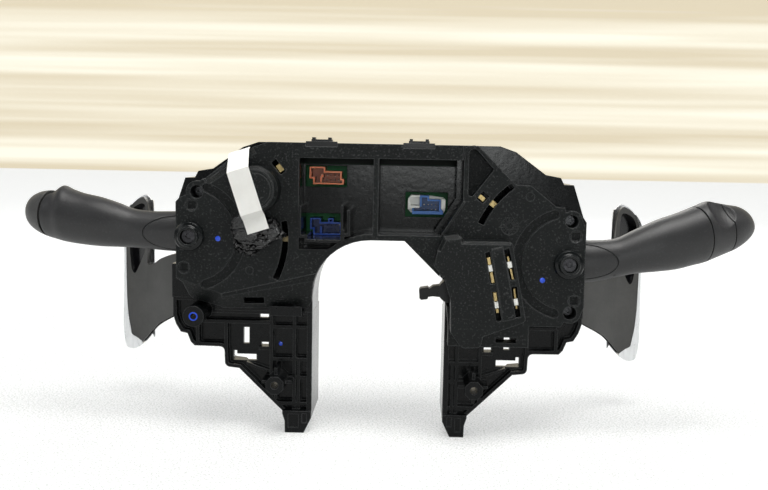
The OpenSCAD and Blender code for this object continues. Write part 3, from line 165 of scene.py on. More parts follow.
left_edge, right_edge, near_edge, wall_y, wall_top = -9, 9, -4, 5.2, 6
board("floor",
      [(left_edge, near_edge, floor_z), (right_edge, near_edge, floor_z),
       (right_edge, wall_y, floor_z), (left_edge, wall_y, floor_z)],
      background("glazed_board", (0.56, 0.58, 0.56), (0.93, 0.93, 0.93), body=0.62, glow=0.55,
                 far_glow=0.97, scale=(900, 900, 900), softness=0.20))
board("backdrop",
      [(left_edge, wall_y, floor_z), (right_edge, wall_y, floor_z),
       (right_edge, wall_y, wall_top), (left_edge, wall_y, wall_top)],
      # Its darker tone runs in level bands, the painted shade of the folds.
      background("cream_cloth", (0.70, 0.62, 0.46), (0.95, 0.91, 0.77), body=1.0, glow=0.94,
                 far_glow=0.94, scale=(0.11, 1.0, 5.2), softness=0.12))
aim = Vector((0.0, 0.02, 0.07))


def lamp(name, place, width, watts, colour):
    """A flat lamp turned to the middle of the module."""
    data = bpy.data.lights.new(name, "AREA")
    data.shape = "RECTANGLE"
    data.size = width
    data.size_y = width * 0.7
    data.energy = watts
    data.color = colour
    piece = placed(name, data)
    piece.location = place
    piece.rotation_euler = (aim - Vector(place)).to_track_quat("-Z", "Y").to_euler()


lamp("ceiling_lamp", (0.10, -0.30, 1.20), 0.8, 15, (1.0, 0.99, 0.97))
lamp("left_lamp", (-1.1, -0.7, 0.7), 0.7, 2, (0.97, 0.99, 1.0))
lamp("right_lamp", (1.2, -0.4, 0.8), 0.6, 2.5, (1.0, 0.99, 0.97))
lamp("front_lamp", (0.06, -1.00, 0.20), 0.30, 2.0, (0.97, 1.0, 0.99))
lamp("rear_lamp", (0.2, 1.3, 0.9), 0.8, 6, (1.0, 1.0, 1.0))

# The room is white to the camera. For everything else it fades towards the side of the camera.
world = bpy.data.worlds.new("room")
scene.world = world
world.use_nodes = True
tree = world.node_tree
direction = add_node(tree, "ShaderNodeTexCoord").outputs["Generated"]
forwards = add_node(tree, "ShaderNodeSeparateXYZ", Vector=direction).outputs["Y"]
fade = add_node(tree, "ShaderNodeMapRange", Value=forwards, From_Min=-0.7, From_Max=0.5,
                To_Min=0.16, To_Max=0.62)
rays = add_node(tree, "ShaderNodeLightPath").outputs
strength = add_node(tree, "ShaderNodeMix", Factor=rays["Is Camera Ray"],
                    A=fade.outputs["Result"], B=1.0)
feed(tree.nodes["Background"], Color=(0.97, 0.98, 1.0, 1), Strength=strength.outputs["Result"])

# ---------- Covers ----------
# The rear cover, the right switch plate, the contact cover and the sensor drum are moulded in a
# charcoal plastic with a fine spark-eroded grain, a little polished where hands and parts rub.
# Their edges are painted paler, partly as rubbed wear and partly as painted highlight.


def moulded(name, dark, light, roughness, grain_size, grain_depth, edge=0.0004, rub_and_highlight=0.0,
            speck=0.0, gloss=0.5, painted_shade=None):
    """Moulded plastic: cloudy colour, fine grain, rounded edges painted paler as rubbed wear and as
    highlight, and painted shade in its depth.
    """
    material, tree, shader = new_paint(name, Specular_IOR_Level=gloss)
    place = add_node(tree, "ShaderNodeTexCoord").outputs["Object"]
    cloud = add_node(tree, "ShaderNodeTexNoise", Vector=place, Scale=45.0, Detail=6.0,
                     Roughness=0.65).outputs["Fac"]
    colour = two_tone(tree, cloud, (0.32, dark), (0.68, light))
    grain = add_node(tree, "ShaderNodeTexNoise", Vector=place, Scale=1.0 / grain_size,
                     Detail=3.0, Roughness=0.6)
    rounding = add_node(tree, "ShaderNodeBevel", {"samples": 4}, Radius=edge).outputs["Normal"]
    bump = add_node(tree, "ShaderNodeBump", Strength=1.0, Distance=grain_depth,
                    Height=grain.outputs["Fac"], Normal=rounding)
    if speck:
        dust = add_node(tree, "ShaderNodeTexNoise", Vector=place, Scale=900.0, Detail=2.0)
        fleck = two_tone(tree, dust.outputs["Fac"], (0.57, (0, 0, 0)),
                         (0.68, (speck, speck, speck)))
        colour = add_node(tree, "ShaderNodeMix", {"data_type": "RGBA", "blend_type": "ADD"},
                          Factor=1.0, A=colour, B=fleck).outputs["Result"]
    if rub_and_highlight:
        # Where the rounded edge turns away from the flat face, the plastic is painted paler: partly
        # rubbed wear, partly a painted highlight along the edge.
        flat = add_node(tree, "ShaderNodeNewGeometry").outputs["Normal"]
        match = add_node(tree, "ShaderNodeVectorMath", {"operation": "DOT_PRODUCT"},
                         n0=rounding, n1=flat)
        rim = add_node(tree, "ShaderNodeMapRange", Value=match.outputs["Value"],
                       From_Min=0.995, From_Max=0.86, To_Min=0.0, To_Max=rub_and_highlight)
        pale_edge_highlight = (*[min(1.0, c * 3.2 + 0.10) for c in light], 1)
        colour = add_node(tree, "ShaderNodeMix", {"data_type": "RGBA"}, B=pale_edge_highlight, A=colour,
                          Factor=rim.outputs["Result"]).outputs["Result"]
    if painted_shade:
        # Painted shade: the colour darkens along one axis, down to a share of itself.
        axis, shade_start, shade_full, left_over = painted_shade
        inward = add_node(tree, "ShaderNodeSeparateXYZ", Vector=place).outputs[axis]
        depth = add_node(tree, "ShaderNodeMapRange", Value=inward, From_Min=shade_start,
                         From_Max=shade_full, To_Min=1.0, To_Max=left_over)
        colour = add_node(tree, "ShaderNodeVectorMath", {"operation": "SCALE"}, n0=colour,
                          Scale=depth.outputs["Result"]).outputs["Vector"]
    spread = 0.08
    polish = add_node(tree, "ShaderNodeMapRange", Value=cloud, To_Min=roughness - spread,
                      To_Max=roughness + spread)
    feed(shader, Base_Color=colour, Roughness=polish.outputs["Result"],
         Normal=bump.outputs["Normal"])
    return material


def finish(material, *names):
    for name in names:
        piece = nodes[name]
        piece.data.materials.clear()
        piece.data.materials.append(material)


finish(moulded("grained_charcoal", (0.0014, 0.0023, 0.0023), (0.0038, 0.0052, 0.0052), 0.40,
               0.0006, 0.00030, edge=0.0010, rub_and_highlight=0.60, speck=0.030, gloss=0.17),
       "rear_cover", "right_switch_plate", "contact_cover", "sensor_drum")

# ---------- Housings and legs ----------
# The main housing, the front housing and both ribbed legs are a glass-filled black nylon with a
# smooth, rather shiny skin and slight moulding flow.
# Their edges are painted paler, partly as rubbed wear and partly as painted highlight.
finish(moulded("shiny_black", (0.0014, 0.0019, 0.0021), (0.0034, 0.0041, 0.0045), 0.17,
               0.0030, 0.00006, edge=0.0008, rub_and_highlight=0.45, speck=0.003, gloss=0.15),
       "main_housing", "front_housing", "left_bracket", "right_bracket", "connector_shroud",
       "left_stalk_root", "right_stalk_root", "left_button_bush")

# ---------- Circuit board ----------
# The board behind the sockets shows at the corners of their windows, green under its lacquer and
# darkened towards its top edge with painted shade.
finish(moulded("board_lacquer", (0.010, 0.060, 0.020), (0.022, 0.150, 0.050), 0.45, 0.0012,
               0.00003, gloss=0.1, painted_shade=("Z", 0.1235, 0.1255, 0.04)), "circuit_board")

# ---------- Sockets ----------
# Keyed connector sockets, each in the colour that its plug answers to and darkened towards its
# floor with painted shade, its edges painted pale as highlight, with tinned pins inside. The white
# rollers of the contact unit are the same plastic.
mouth, floor = 0.0245, 0.0300
for name, dark, light, roughness, rub_and_highlight, left_over, socket in (
        ("socket_orange", (0.86, 0.20, 0.085), (0.98, 0.30, 0.15), 0.30, 0.4, 0.30,
         "orange_connector"),
        ("socket_blue", (0.014, 0.060, 0.36), (0.026, 0.100, 0.52), 0.28, 0.2, 0.22,
         "blue_connector"),
        ("socket_core_blue", (0.04, 0.15, 0.50), (0.07, 0.22, 0.62), 0.30, 0.2, 0.30,
         "white_connector_core")):
    finish(moulded(name, dark, light, roughness, 0.0010, 0.00004, edge=0.0003, rub_and_highlight=rub_and_highlight,
                   gloss=0.2, painted_shade=("Y", mouth, floor, left_over)), socket)
finish(moulded("socket_white", (0.80, 0.80, 0.74), (0.92, 0.92, 0.88), 0.36, 0.0010, 0.00004,
               edge=0.0002),
       "white_connector", "contact_rollers")


def metal(name, dark, light, roughness, streak):
    """Bare or plated metal with fine drawn streaks and a cloudy polish."""
    material, tree, shader = new_paint(name, Metallic=1.0)
    place = add_node(tree, "ShaderNodeTexCoord").outputs["Object"]
    drawn = add_node(tree, "ShaderNodeMapping", Vector=place, Scale=(1.0, 1.0, streak))
    cloud = add_node(tree, "ShaderNodeTexNoise", Vector=drawn.outputs["Vector"], Scale=500.0,
                     Detail=5.0).outputs["Fac"]
    polish = add_node(tree, "ShaderNodeMapRange", Value=cloud, To_Min=roughness * 0.7,
                      To_Max=roughness * 1.3)
    rounding = add_node(tree, "ShaderNodeBevel", {"samples": 4}, Radius=0.0002)
    bump = add_node(tree, "ShaderNodeBump", Distance=0.00002, Height=cloud,
                    Normal=rounding.outputs["Normal"])
    feed(shader, Base_Color=two_tone(tree, cloud, (0.3, dark), (0.7, light)),
         Roughness=polish.outputs["Result"], Normal=bump.outputs["Normal"])
    return material


def worked(piece):
    """Works a piece's modifiers into its mesh and takes them off."""
    scene_now = bpy.context.evaluated_depsgraph_get()
    mesh = bpy.data.meshes.new_from_object(piece.evaluated_get(scene_now))
    piece.modifiers.clear()
    piece.data = mesh
    return mesh


class Recipe:
    """A Geometry Nodes tree with named sizes, which grows one plain mesh from a few points."""

    def __init__(self, name, **sizes):
        self.tree = bpy.data.node_groups.new(name, "GeometryNodeTree")
        shelf = self.tree.interface
        shelf.new_socket("Points", in_out="INPUT", socket_type="NodeSocketGeometry")
        shelf.new_socket("Piece", in_out="OUTPUT", socket_type="NodeSocketGeometry")
        self.sockets = {}
        for label, value in sizes.items():
            kind = "NodeSocketInt" if isinstance(value, int) else "NodeSocketFloat"
            socket = shelf.new_socket(label, in_out="INPUT", socket_type=kind)
            socket.default_value = value
            self.sockets[label] = socket.identifier
        self.given = self.tree.nodes.new("NodeGroupInput").outputs

    def add(self, kind, settings=None, **inputs):
        """Adds a node and gives back its first output; a word stands for the size it names."""
        for key, value in inputs.items():
            if isinstance(value, str):
                inputs[key] = self.given[value]
        kind = kind if kind.startswith("Shader") else "GeometryNode" + kind
        return add_node(self.tree, kind, settings, **inputs).outputs[0]

    def maths(self, operation, a, b):
        return self.add("ShaderNodeMath", {"operation": operation}, n0=a, n1=b)

    def vector(self, x=0.0, y=0.0, z=0.0):
        return self.add("ShaderNodeCombineXYZ", X=x, Y=y, Z=z)

    def raised(self, shape, height):
        """The shape, moved up its own axis."""
        return self.add("Transform", Geometry=shape, Translation=self.vector(z=height))

    def swept(self, path, radius, sides, **inputs):
        """A bar along a path, whose section has the given radius and number of sides."""
        section = self.add("CurvePrimitiveCircle", Resolution=sides, Radius=radius)
        return self.add("CurveToMesh", Curve=path, Profile_Curve=section, **inputs)

    def end(self, shape, material):
        """Sets the shape on every point, as plain mesh in one material."""
        each = self.add("InstanceOnPoints", Points="Points", Instance=shape)
        plain = self.add("RealizeInstances", Geometry=each)
        painted = self.add("SetMaterial", Geometry=plain, Material=material)
        feed(self.tree.nodes.new("NodeGroupOutput"), n0=painted)

    def grow(self, name, points, **sizes):
        """Runs the tree on the points and gives back a plain mesh piece without any modifier."""
        seeds = bpy.data.meshes.new(name)
        seeds.from_pydata([tuple(point) for point in points], [], [])
        piece = placed(name, seeds)
        step = piece.modifiers.new("grow", "NODES")
        step.node_group = self.tree
        for label, value in sizes.items():
            step[self.sockets[label]] = value
        mesh = worked(piece)
        mesh.name = name
        # The seeds leave an empty material slot in front of the tree's own, which goes.
        paints = [paint for paint in mesh.materials if paint]
        mesh.materials.clear()
        for paint in paints:
            mesh.materials.append(paint)
        return piece


# Two rows of square pins with drawn points stand on the board in the middle of each socket, which
# is set off from the socket's lower left corner.
mm = 0.001
pins = Recipe("pin_field", Pitch=0.0023, Row_Gap=0.0028, Side=0.0006, Length=0.006, Count=4,
              Rows=2)
wire_line = pins.add("CurvePrimitiveLine", End=pins.vector(z="Length"))
wire_line = pins.add("ResampleCurve", Curve=wire_line, Count=11)
square = pins.add("CurvePrimitiveCircle", Resolution=4,
                  Radius=pins.maths("MULTIPLY", "Side", math.sqrt(0.5)))
square = pins.add("Transform", Geometry=square, Rotation=(0, 0, math.radians(45)))
drawn = pins.add("ShaderNodeMapRange", Value=pins.add("SplineParameter"), From_Min=0.8,
                 From_Max=1.0, To_Min=1.0, To_Max=0.35)
pin = pins.add("CurveToMesh", Curve=wire_line, Profile_Curve=square, Fill_Caps=True, Scale=drawn)
grid = pins.add("MeshGrid", Vertices_X="Count", Vertices_Y="Rows",
                Size_X=pins.maths("MULTIPLY", "Pitch", pins.maths("SUBTRACT", "Count", 1)),
                Size_Y=pins.maths("MULTIPLY", "Row_Gap", pins.maths("SUBTRACT", "Rows", 1)))
field = pins.add("InstanceOnPoints", Points=grid, Instance=pin)
field = pins.add("Transform", Geometry=field, Rotation=(math.radians(90), 0, 0))
pins.end(field, metal("tinned_pins", (0.55, 0.52, 0.46), (0.78, 0.76, 0.70), 0.25, 0.3))
board_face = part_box("connector_pins")[1][1]
corners, across, upwards = ((-40.2, 113.4), (-39.6, 84), (16.9, 97.2)), 12.85, 3.8
middles = [((x + across) * mm, board_face, (z + upwards) * mm) for x, z in corners]
pin_rows = pins.grow("socket_pins", middles)
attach(pin_rows, "base")
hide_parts("connector_pins")

# ---------- Contact unit ----------
# Brass blades stand in the slots of the contact cover, clipped across by the small white rollers.
# The wipers of both stalks are stamped from the same strip, the left one in a darker colour.
finish(metal("dull_brass", (0.17, 0.125, 0.052), (0.40, 0.31, 0.15), 0.36, 0.3),
       "contact_blades", "terminal_tabs", "right_wiper")
finish(metal("dark_bronze", (0.050, 0.040, 0.022), (0.13, 0.105, 0.060), 0.34, 0.3),
       "left_wiper")

# ---------- Small pieces on the rear ----------
# A rough black lump holds the end of a blank strip of white tape. Nylon clips hook over the top
# edge; the switches of the paddles and the cancelling finger are the same nylon.
lump_low, lump_high = (Vector(corner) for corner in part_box("retaining_clip"))
lump_middle = (lump_low + lump_high) / 2


def into_mesh(form, mesh):
    """Writes a worked form into a mesh and lets the form go."""
    form.to_mesh(mesh)
    form.free()
    return mesh


form = bmesh.new()
form.from_mesh(nodes["retaining_clip"].data)
bmesh.ops.remove_doubles(form, verts=form.verts, dist=0.00001)
lump = placed("black_lump", into_mesh(form, nodes["retaining_clip"].data.copy()))
even = lump.modifiers.new("even", "REMESH")
even.mode = "VOXEL"
even.voxel_size = 0.00045
soft = lump.modifiers.new("soft", "SMOOTH")
soft.iterations = 6
# Pressed on hot, it has set in folds and lobes: pulled out sideways, hollowed on top, flat below.
foot, fold_depth, crease_depth, sunk = 0.0012, 0.0030, 0.0009, 0.0004
folds, creases = 150, 420
wider, lower, dropped = 1.10, 0.86, 0.0006
lump_mesh = worked(lump)
for vertex in lump_mesh.vertices:
    p = vertex.co
    lifted = min(1.0, max(0.0, (lump_high.y - p.y) / foot))
    fold = noise.noise(p * folds + Vector((3.1, 0.0, 7.7)))
    crease = abs(noise.noise(p * creases))
    shift = vertex.normal * (fold * fold_depth - sunk - crease * crease_depth) * lifted
    p = Vector((lump_middle.x + (p.x - lump_middle.x) * wider, p.y,
                lump_middle.z - dropped + (p.z - lump_middle.z) * lower)) + shift
    p.y = max(p.y, lump_low.y + 0.0002)
    vertex.co = p
lump_mesh.shade_smooth()
lump_mesh.materials.clear()
lump_mesh.materials.append(
    moulded("lump_black", (0.0012, 0.0012, 0.0014), (0.0030, 0.0030, 0.0034), 0.15, 0.0016,
            0.00025, edge=0.0003))
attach(lump, "base")
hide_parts("retaining_clip")
finish(moulded("clip_nylon", (0.0022, 0.0024, 0.0026), (0.0050, 0.0054, 0.0058), 0.34, 0.0012,
               0.00005, rub_and_highlight=0.3, gloss=0.2),
       "top_clips", "paddle_switches", "cancel_finger")
finish(moulded("blank_tape", (0.80, 0.79, 0.75), (0.90, 0.89, 0.86), 0.75, 0.0012, 0.00006,
               edge=0.0001),
       "tape_strip")

# Dabs of thick blue paint: one on each plate and on the left leg, and one run into a fixing hole.
blue_paint = moulded("blue_dab", (0.006, 0.05, 0.55), (0.012, 0.09, 0.80), 0.25, 0.0008,
                     0.00006, edge=0.0001)
dabs = Recipe("paint_dab", Radius=0.0015, Height=0.00022)
dome = dabs.add("MeshUVSphere", Segments=28, Rings=12, Radius="Radius")
flat = dabs.vector(1.0, dabs.maths("DIVIDE", "Height", "Radius"), 1.0)
dome = dabs.add("Transform", Geometry=dome, Scale=flat)
dabs.end(dabs.add("SetShadeSmooth", Geometry=dome), blue_paint)
plate_dabs = dabs.grow("plate_dabs", [(-0.0888, 0.002, 0.0827), (0.0925, 0.002, 0.0634)])
leg_dab = dabs.grow("leg_dab", [(-0.0559, 0.0210, 0.0196)], Radius=0.0012)
rims = Recipe("painted_rim", Radius=0.00215, Bead=0.00042)
loop = rims.add("CurvePrimitiveCircle", Resolution=40, Radius="Radius")
rim = rims.add("SetShadeSmooth", Geometry=rims.swept(loop, "Bead", 10))
rims.end(rims.add("Transform", Geometry=rim, Rotation=(math.radians(90), 0, 0)), blue_paint)
hole_rim = rims.grow("hole_rim", [(-0.1024, 0.0002, 0.0386)])
for dab in (plate_dabs, leg_dab, hole_rim):
    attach(dab, "base")
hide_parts("paint_dots")

# ---------- Pivots ----------
# Dark collars and blackened screws on the trunnions, carriers and plungers of natural nylon, and
# zinc-plated pins and shaft.
# Their edges are painted paler, mostly as painted highlight and partly as rubbed wear.
finish(moulded("collar_dark", (0.0024, 0.0032, 0.0034), (0.0055, 0.0068, 0.0070), 0.20, 0.0010,
               0.00004, rub_and_highlight=0.50, gloss=0.22),
       "left_pivot_collar", "right_pivot_collar")
finish(metal("blackened_screw", (0.020, 0.020, 0.022), (0.060, 0.060, 0.064), 0.30, 1.0),
       "left_pivot_screw", "right_pivot_screw")
finish(moulded("natural_nylon", (0.62, 0.59, 0.50), (0.74, 0.71, 0.62), 0.45, 0.0012, 0.00005),
       "left_tilt_carrier", "right_tilt_carrier", "left_detent_plunger",
       "right_detent_plunger", "detent_tracks")
finish(metal("zinc_plate", (0.42, 0.42, 0.44), (0.62, 0.62, 0.64), 0.28, 1.0),
       "left_pull_pin", "right_pull_pin", "paddle_pins", "right_knob_shaft")

# ---------- Housing screws ----------
# Three black thread-forming screws with a chamfered round head and a six-pointed recess, sunk in
# their wells. Each is built up from the face of its head, then turned to point into the housing.
screws = Recipe("screw", Head_Radius=0.0031, Head_Height=0.0024, Shank_Radius=0.00145,
                Length=0.0195, Recess=0.0018, Thread=0.00016, Turns=14.0)
crown_share, crown_taper, thread_from, thread_share = 0.28, 0.86, 0.1, 0.84
crown_height = screws.maths("MULTIPLY", "Head_Height", crown_share)
crown = screws.add("MeshCone", Vertices=48, Radius_Top="Head_Radius", Depth=crown_height,
                   Radius_Bottom=screws.maths("MULTIPLY", "Head_Radius", crown_taper))
rest_height = screws.maths("SUBTRACT", "Head_Height", crown_height)
head = screws.raised(
    screws.add("MeshCylinder", Vertices=48, Radius="Head_Radius", Depth=rest_height),
    screws.maths("ADD", crown_height, screws.maths("MULTIPLY", rest_height, 0.5)))
shank = screws.raised(
    screws.add("MeshCylinder", Vertices=24, Radius="Shank_Radius", Depth="Length"),
    screws.maths("ADD", "Head_Height", screws.maths("MULTIPLY", "Length", 0.49)))
solid = screws.add("MeshBoolean", {"operation": "UNION", "solver": "EXACT"},
                   Mesh_2=[crown, head, shank])
point = screws.add("MeshCylinder", Vertices=3, Radius="Recess", Depth=0.0030)
turned = screws.add("Transform", Geometry=point, Rotation=(0, 0, math.radians(60)))
solid = screws.add("MeshBoolean", {"operation": "DIFFERENCE", "solver": "EXACT"},
                   Mesh_1=solid, Mesh_2=[point, turned])
helix = screws.add("CurveSpiral", Resolution=16, Rotations="Turns", Start_Radius="Shank_Radius",
                   End_Radius="Shank_Radius",
                   Height=screws.maths("MULTIPLY", "Length", thread_share))
thread = screws.raised(
    screws.swept(helix, "Thread", 3, Fill_Caps=True),
    screws.maths("ADD", "Head_Height", screws.maths("MULTIPLY", "Length", thread_from)))
screw = screws.add("JoinGeometry", Geometry=[solid, thread])
screws.end(screws.add("Transform", Geometry=screw, Rotation=(math.radians(-90), 0, 0)),
           metal("black_zinc", (0.020, 0.021, 0.022), (0.075, 0.076, 0.080), 0.26, 1.0))
head_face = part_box("housing_screws")[0][1]
wells = ((-100.6, 108.7), (107.6, 96.4), (108.4, 45.3))
screw_set = screws.grow("cover_screws", [(x * mm, head_face, z * mm) for x, z in wells])
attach(screw_set, "base")
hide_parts("housing_screws")

# ---------- Springs ----------
# Coil springs of bright wire: one behind each detent plunger, one under the tip button and one on
# the pin of each paddle. They are wound on one rule and differ in radius, wire, length and turns.
coils = Recipe("coil", Radius=0.0015, Wire=0.00035, Height=0.0075, Turns=4.0)
free_height = coils.maths("SUBTRACT", "Height", coils.maths("MULTIPLY", "Wire", 2.0))
helix = coils.add("CurveSpiral", Resolution=24, Rotations="Turns", Start_Radius="Radius",
                  End_Radius="Radius", Height=free_height)
wound = coils.add("SetShadeSmooth", Geometry=coils.swept(helix, "Wire", 10, Fill_Caps=True))
coils.end(coils.raised(wound, "Wire"),
          metal("spring_wire", (0.36, 0.36, 0.38), (0.56, 0.56, 0.58), 0.25, 1.0))


def spring(name, node, body, turn, **sizes):
    """A spring wound along Z, turned to its own line and set in the middle of its place."""
    piece = coils.grow(name, [(0, 0, 0)], **sizes)
    piece.data.transform(Matrix.Translation((0, 0, -sizes["Height"] / 2)))
    piece.data.transform(turn.to_4x4())
    low, high = (Vector(corner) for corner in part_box(node))
    piece.data.transform(Matrix.Translation((low + high) / 2))
    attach(piece, body)
    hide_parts(node)


for side_name in ("left", "right"):
    spring(side_name + "_plunger_spring", side_name + "_detent_spring", side_name + "_carrier",
           Matrix.Rotation(math.radians(90), 3, "Y"), Radius=0.0015, Wire=0.00035,
           Height=0.0075, Turns=4.0)
# The tip of each stalk leans towards the driver; the left one rises less than the right one.
lean, left_rise = math.radians(22), math.radians(4)
tip_line = Vector((-math.cos(lean) * math.cos(left_rise), math.sin(lean) * math.cos(left_rise),
                   math.sin(left_rise)))
spring("button_spring", "left_button_spring", "left_stalk",
       tip_line.to_track_quat("Z", "Y").to_matrix(), Radius=0.0034, Wire=0.0004,
       Height=0.0131, Turns=5.0)
low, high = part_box("paddle_springs")
paddle_pin_x, paddle_pin_y = 0.106, 0.057
paddle_coils = coils.grow("paddle_coils",
                          [(x, paddle_pin_y, low[2]) for x in (-paddle_pin_x, paddle_pin_x)],
                          Radius=0.003, Wire=0.0005, Height=high[2] - low[2], Turns=5.0)
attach(paddle_coils, "base")
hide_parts("paddle_springs")

# ---------- Stalks ----------
# Two hollow stalks in satin grey plastic with a very fine texture. Each is one long oval moulding
# that swells towards its tip, with an oval inlay let into the rear of its root. Sizes are in mm.
left_line = (
    (114, 84.5, 11.8), (122, 84.5, 11.5), (132, 84.8, 11.1), (142, 85.6, 11.3), (151, 87.2, 12.8),
    (162, 88.8, 14.4), (173, 90.2, 15.1), (180, 91.6, 15.8), (185.5, 93, 16.4),
    (190.5, 92.2, 14.5), (196, 92.6, 13.6), (201, 93, 12.2), (206, 93.2, 9.6), (209.5, 93.2, 5.9),
    (211, 93.2, 1.5))
right_line = (
    (116, 72.2, 12.2), (123, 72.4, 12.1), (131, 73.3, 11.6), (138, 74.8, 11.4), (148, 78.4, 12.8),
    (160, 81.8, 15), (172, 84.6, 16.4), (182, 87.8, 17.2), (189, 90, 17.7), (195, 90.8, 16.2),
    (202, 91.6, 14.3), (208, 92.4, 12.7), (213, 92.9, 10.3), (217, 93, 7.2), (219.6, 92.8, 3.8),
    (220.6, 92.6, 1.2))
oval, thinnest, lip = 0.86, 0.2, 0.35
root_depth, straight_to, bow = 22, 120, 0.00154
round_it = np.radians(np.arange(0, 360, 2.5))


def smooth_line(stations):
    """The stations joined by one smooth line: distance out, height of the axis, half height."""
    knots = np.array([stations[0], *stations, stations[-1]], float)
    rows, steps = [], 24
    for a, b, c, d in zip(knots, knots[1:], knots[2:], knots[3:]):
        for t in np.arange(steps) / steps:
            rows.append(0.5 * (2 * b + (c - a) * t + (2 * a - 5 * b + 4 * c - d) * t ** 2
                               + (3 * b - 3 * c + d - a) * t ** 3))
    return np.array(rows + [knots[-1]])


def depth_of(out):
    """How far the axis lies towards the driver: straight at first, then bowed away."""
    return root_depth + bow * np.maximum(out - straight_to, 0) ** 2


def skin(line, out, grow=0.0):
    """The ring of points round a stalk whose angles each lie at their own distance out."""
    height, half = (np.interp(out, line[:, 0], line[:, k]) for k in (1, 2))
    half = np.maximum(half + grow, thinnest)
    return np.stack((out, depth_of(out) + oval * half * np.cos(round_it),
                     height + half * np.sin(round_it)), -1)


def tip(out, height, rise):
    """Where the tip begins, and the directions along it, towards the driver and up."""
    along = np.array((math.cos(rise) * math.cos(lean), math.cos(rise) * math.sin(lean),
                      math.sin(rise)))
    across = np.array((-math.sin(lean), math.cos(lean), 0))
    return np.array((out, depth_of(out), height)), along, across, np.cross(along, across)


def all_round(out):
    return np.full(round_it.shape, float(out))


def crossing(line, end, distance):
    """How far out the skin meets a plane across the tip, at each angle round it."""
    before_tip, halvings = 150, 30
    low, high = all_round(before_tip), all_round(line[-1, 0])
    for _ in range(halvings):
        middle = (low + high) / 2
        short = (skin(line, middle) - end[0]) @ end[1] < distance
        low, high = np.where(short, middle, low), np.where(short, high, middle)
    return low


def between(line, start, stop, rows, power=1.0):
    """Rings of skin between two rings of distances; a power above 1 crowds them to the end."""
    shares = 1 - (1 - np.linspace(0, 1, rows)) ** power
    return [skin(line, start + (stop - start) * share) for share in shares]


def rolled(line, end, distance, outward):
    """The rounded lip at a seam; outward is 1 where the seam is at the skin's far end."""
    turns = np.radians(np.linspace(0, 90, 5))[1:]
    if outward < 0:
        turns = turns[::-1]
    return [skin(line, crossing(line, end, distance - outward * lip * (1 - math.sin(turn))),
                 -lip * (1 - math.cos(turn))) for turn in turns]


def tube_wall(ring, end, distance, radius):
    """A ring seen along the tip, drawn in to a round bore at a distance along it."""
    centre = end[0] + end[1] * distance
    flat = (ring - centre) - np.outer((ring - centre) @ end[1], end[1])
    return centre + flat / np.linalg.norm(flat, axis=1)[:, None] * radius


def net(rings, around, endless):
    """The faces between rings of points; an endless net joins the last ring to the first."""
    return [(i * around + k, (i + 1) % rings * around + k,
             (i + 1) % rings * around + (k + 1) % around, i * around + (k + 1) % around)
            for i in range(rings if endless else rings - 1) for k in range(around)]


def closed_piece(name, points, faces):
    """A piece made of one closed shell, with its faces outwards."""
    mesh = bpy.data.meshes.new(name)
    mesh.from_pydata(points, [], faces)
    form = bmesh.new()
    form.from_mesh(mesh)
    bmesh.ops.recalc_face_normals(form, faces=form.faces)
    return placed(name, into_mesh(form, mesh))


def lofted(name, rings, mirror, endless=False, dark_rows=()):
    """Skins the rings into one closed shell on the right or the left side."""
    to_side = (mirror * mm, mm, mm)
    points = [tuple(point * to_side) for ring in rings for point in ring]
    n = len(round_it)
    faces = net(len(rings), n, endless)
    if not endless:
        for row in (0, len(rings) - 1):
            points.append(tuple(np.mean(rings[row], axis=0) * to_side))
            faces += [(row * n + k, row * n + (k + 1) % n, len(points) - 1) for k in range(n)]
    piece = closed_piece(name, points, faces)
    piece.data.shade_smooth()
    for index, face in enumerate(piece.data.polygons):
        if index // n in dark_rows:
            face.material_index = 1
    return piece


def inlay_groove(line, centre, mirror):
    """A thin tube along the edge of the oval inlay, which cuts its groove."""
    half_length, half_width, groove_half, groove_depth, sides = 21, 9.8, 0.3, 0.5, 8
    steepest = 0.98
    points, turns = [], np.radians(np.arange(0, 360, 3))
    for turn in turns:
        out, height = (centre[0] + half_length * math.cos(turn),
                       centre[1] + half_width * math.sin(turn))
        axis, half = (np.interp(out, line[:, 0], line[:, k]) for k in (1, 2))
        rise = min(max((height - axis) / half, -steepest), steepest)
        rear = depth_of(out) - oval * half * math.sqrt(1 - rise * rise)
        for k in range(sides):
            way = 2 * math.pi * k / sides
            points.append(((out + groove_half * math.cos(way) * math.cos(turn)) * mirror * mm,
                           (rear + groove_depth * math.sin(way)) * mm,
                           (height + groove_half * math.cos(way) * math.sin(turn)) * mm))
    return closed_piece("groove", points, net(len(turns), sides, True))


def cut(piece, *cutters):
    """Cuts each cutter out of a piece and removes it."""
    for cutter in cutters:
        step = piece.modifiers.new("cut", "BOOLEAN")
        step.operation = "DIFFERENCE"
        step.solver = "EXACT"
        step.object = cutter
    worked(piece)
    for cutter in cutters:
        bpy.data.objects.remove(cutter)


def thumb_hollow(points, end):
    """Sinks the points inside an egg, which presses into the tip at 45 degrees, onto its floor."""
    egg, egg_along, egg_off, soft = np.array((9, 13, 7)), 12.4, 17.9, 0.25
    slant = math.sqrt(0.5)
    local = (points - end[0]) @ np.stack(end[1:], -1)
    tilted = np.stack((local[:, 0] - egg_along, slant * (local[:, 1] + local[:, 2]),
                       slant * (local[:, 2] - local[:, 1]) - egg_off), -1)
    inward = np.stack((0 * local[:, 0], -local[:, 1], -local[:, 2]), -1)
    inward /= np.linalg.norm(inward, axis=1)[:, None] + 1e-9
    way = np.stack((inward[:, 0], slant * (inward[:, 1] + inward[:, 2]),
                    slant * (inward[:, 2] - inward[:, 1])), -1)
    p, d = tilted / egg, way / egg
    a, b, c = (d * d).sum(1), (p * d).sum(1), (p * p).sum(1) - 1
    sink = np.where(c < 0, (-b + np.sqrt(np.maximum(b * b - a * c, 0))) / a, 0)
    sink = np.sqrt(sink ** 2 + soft ** 2) - soft
    return points + (inward * sink[:, None]) @ np.stack(end[1:])


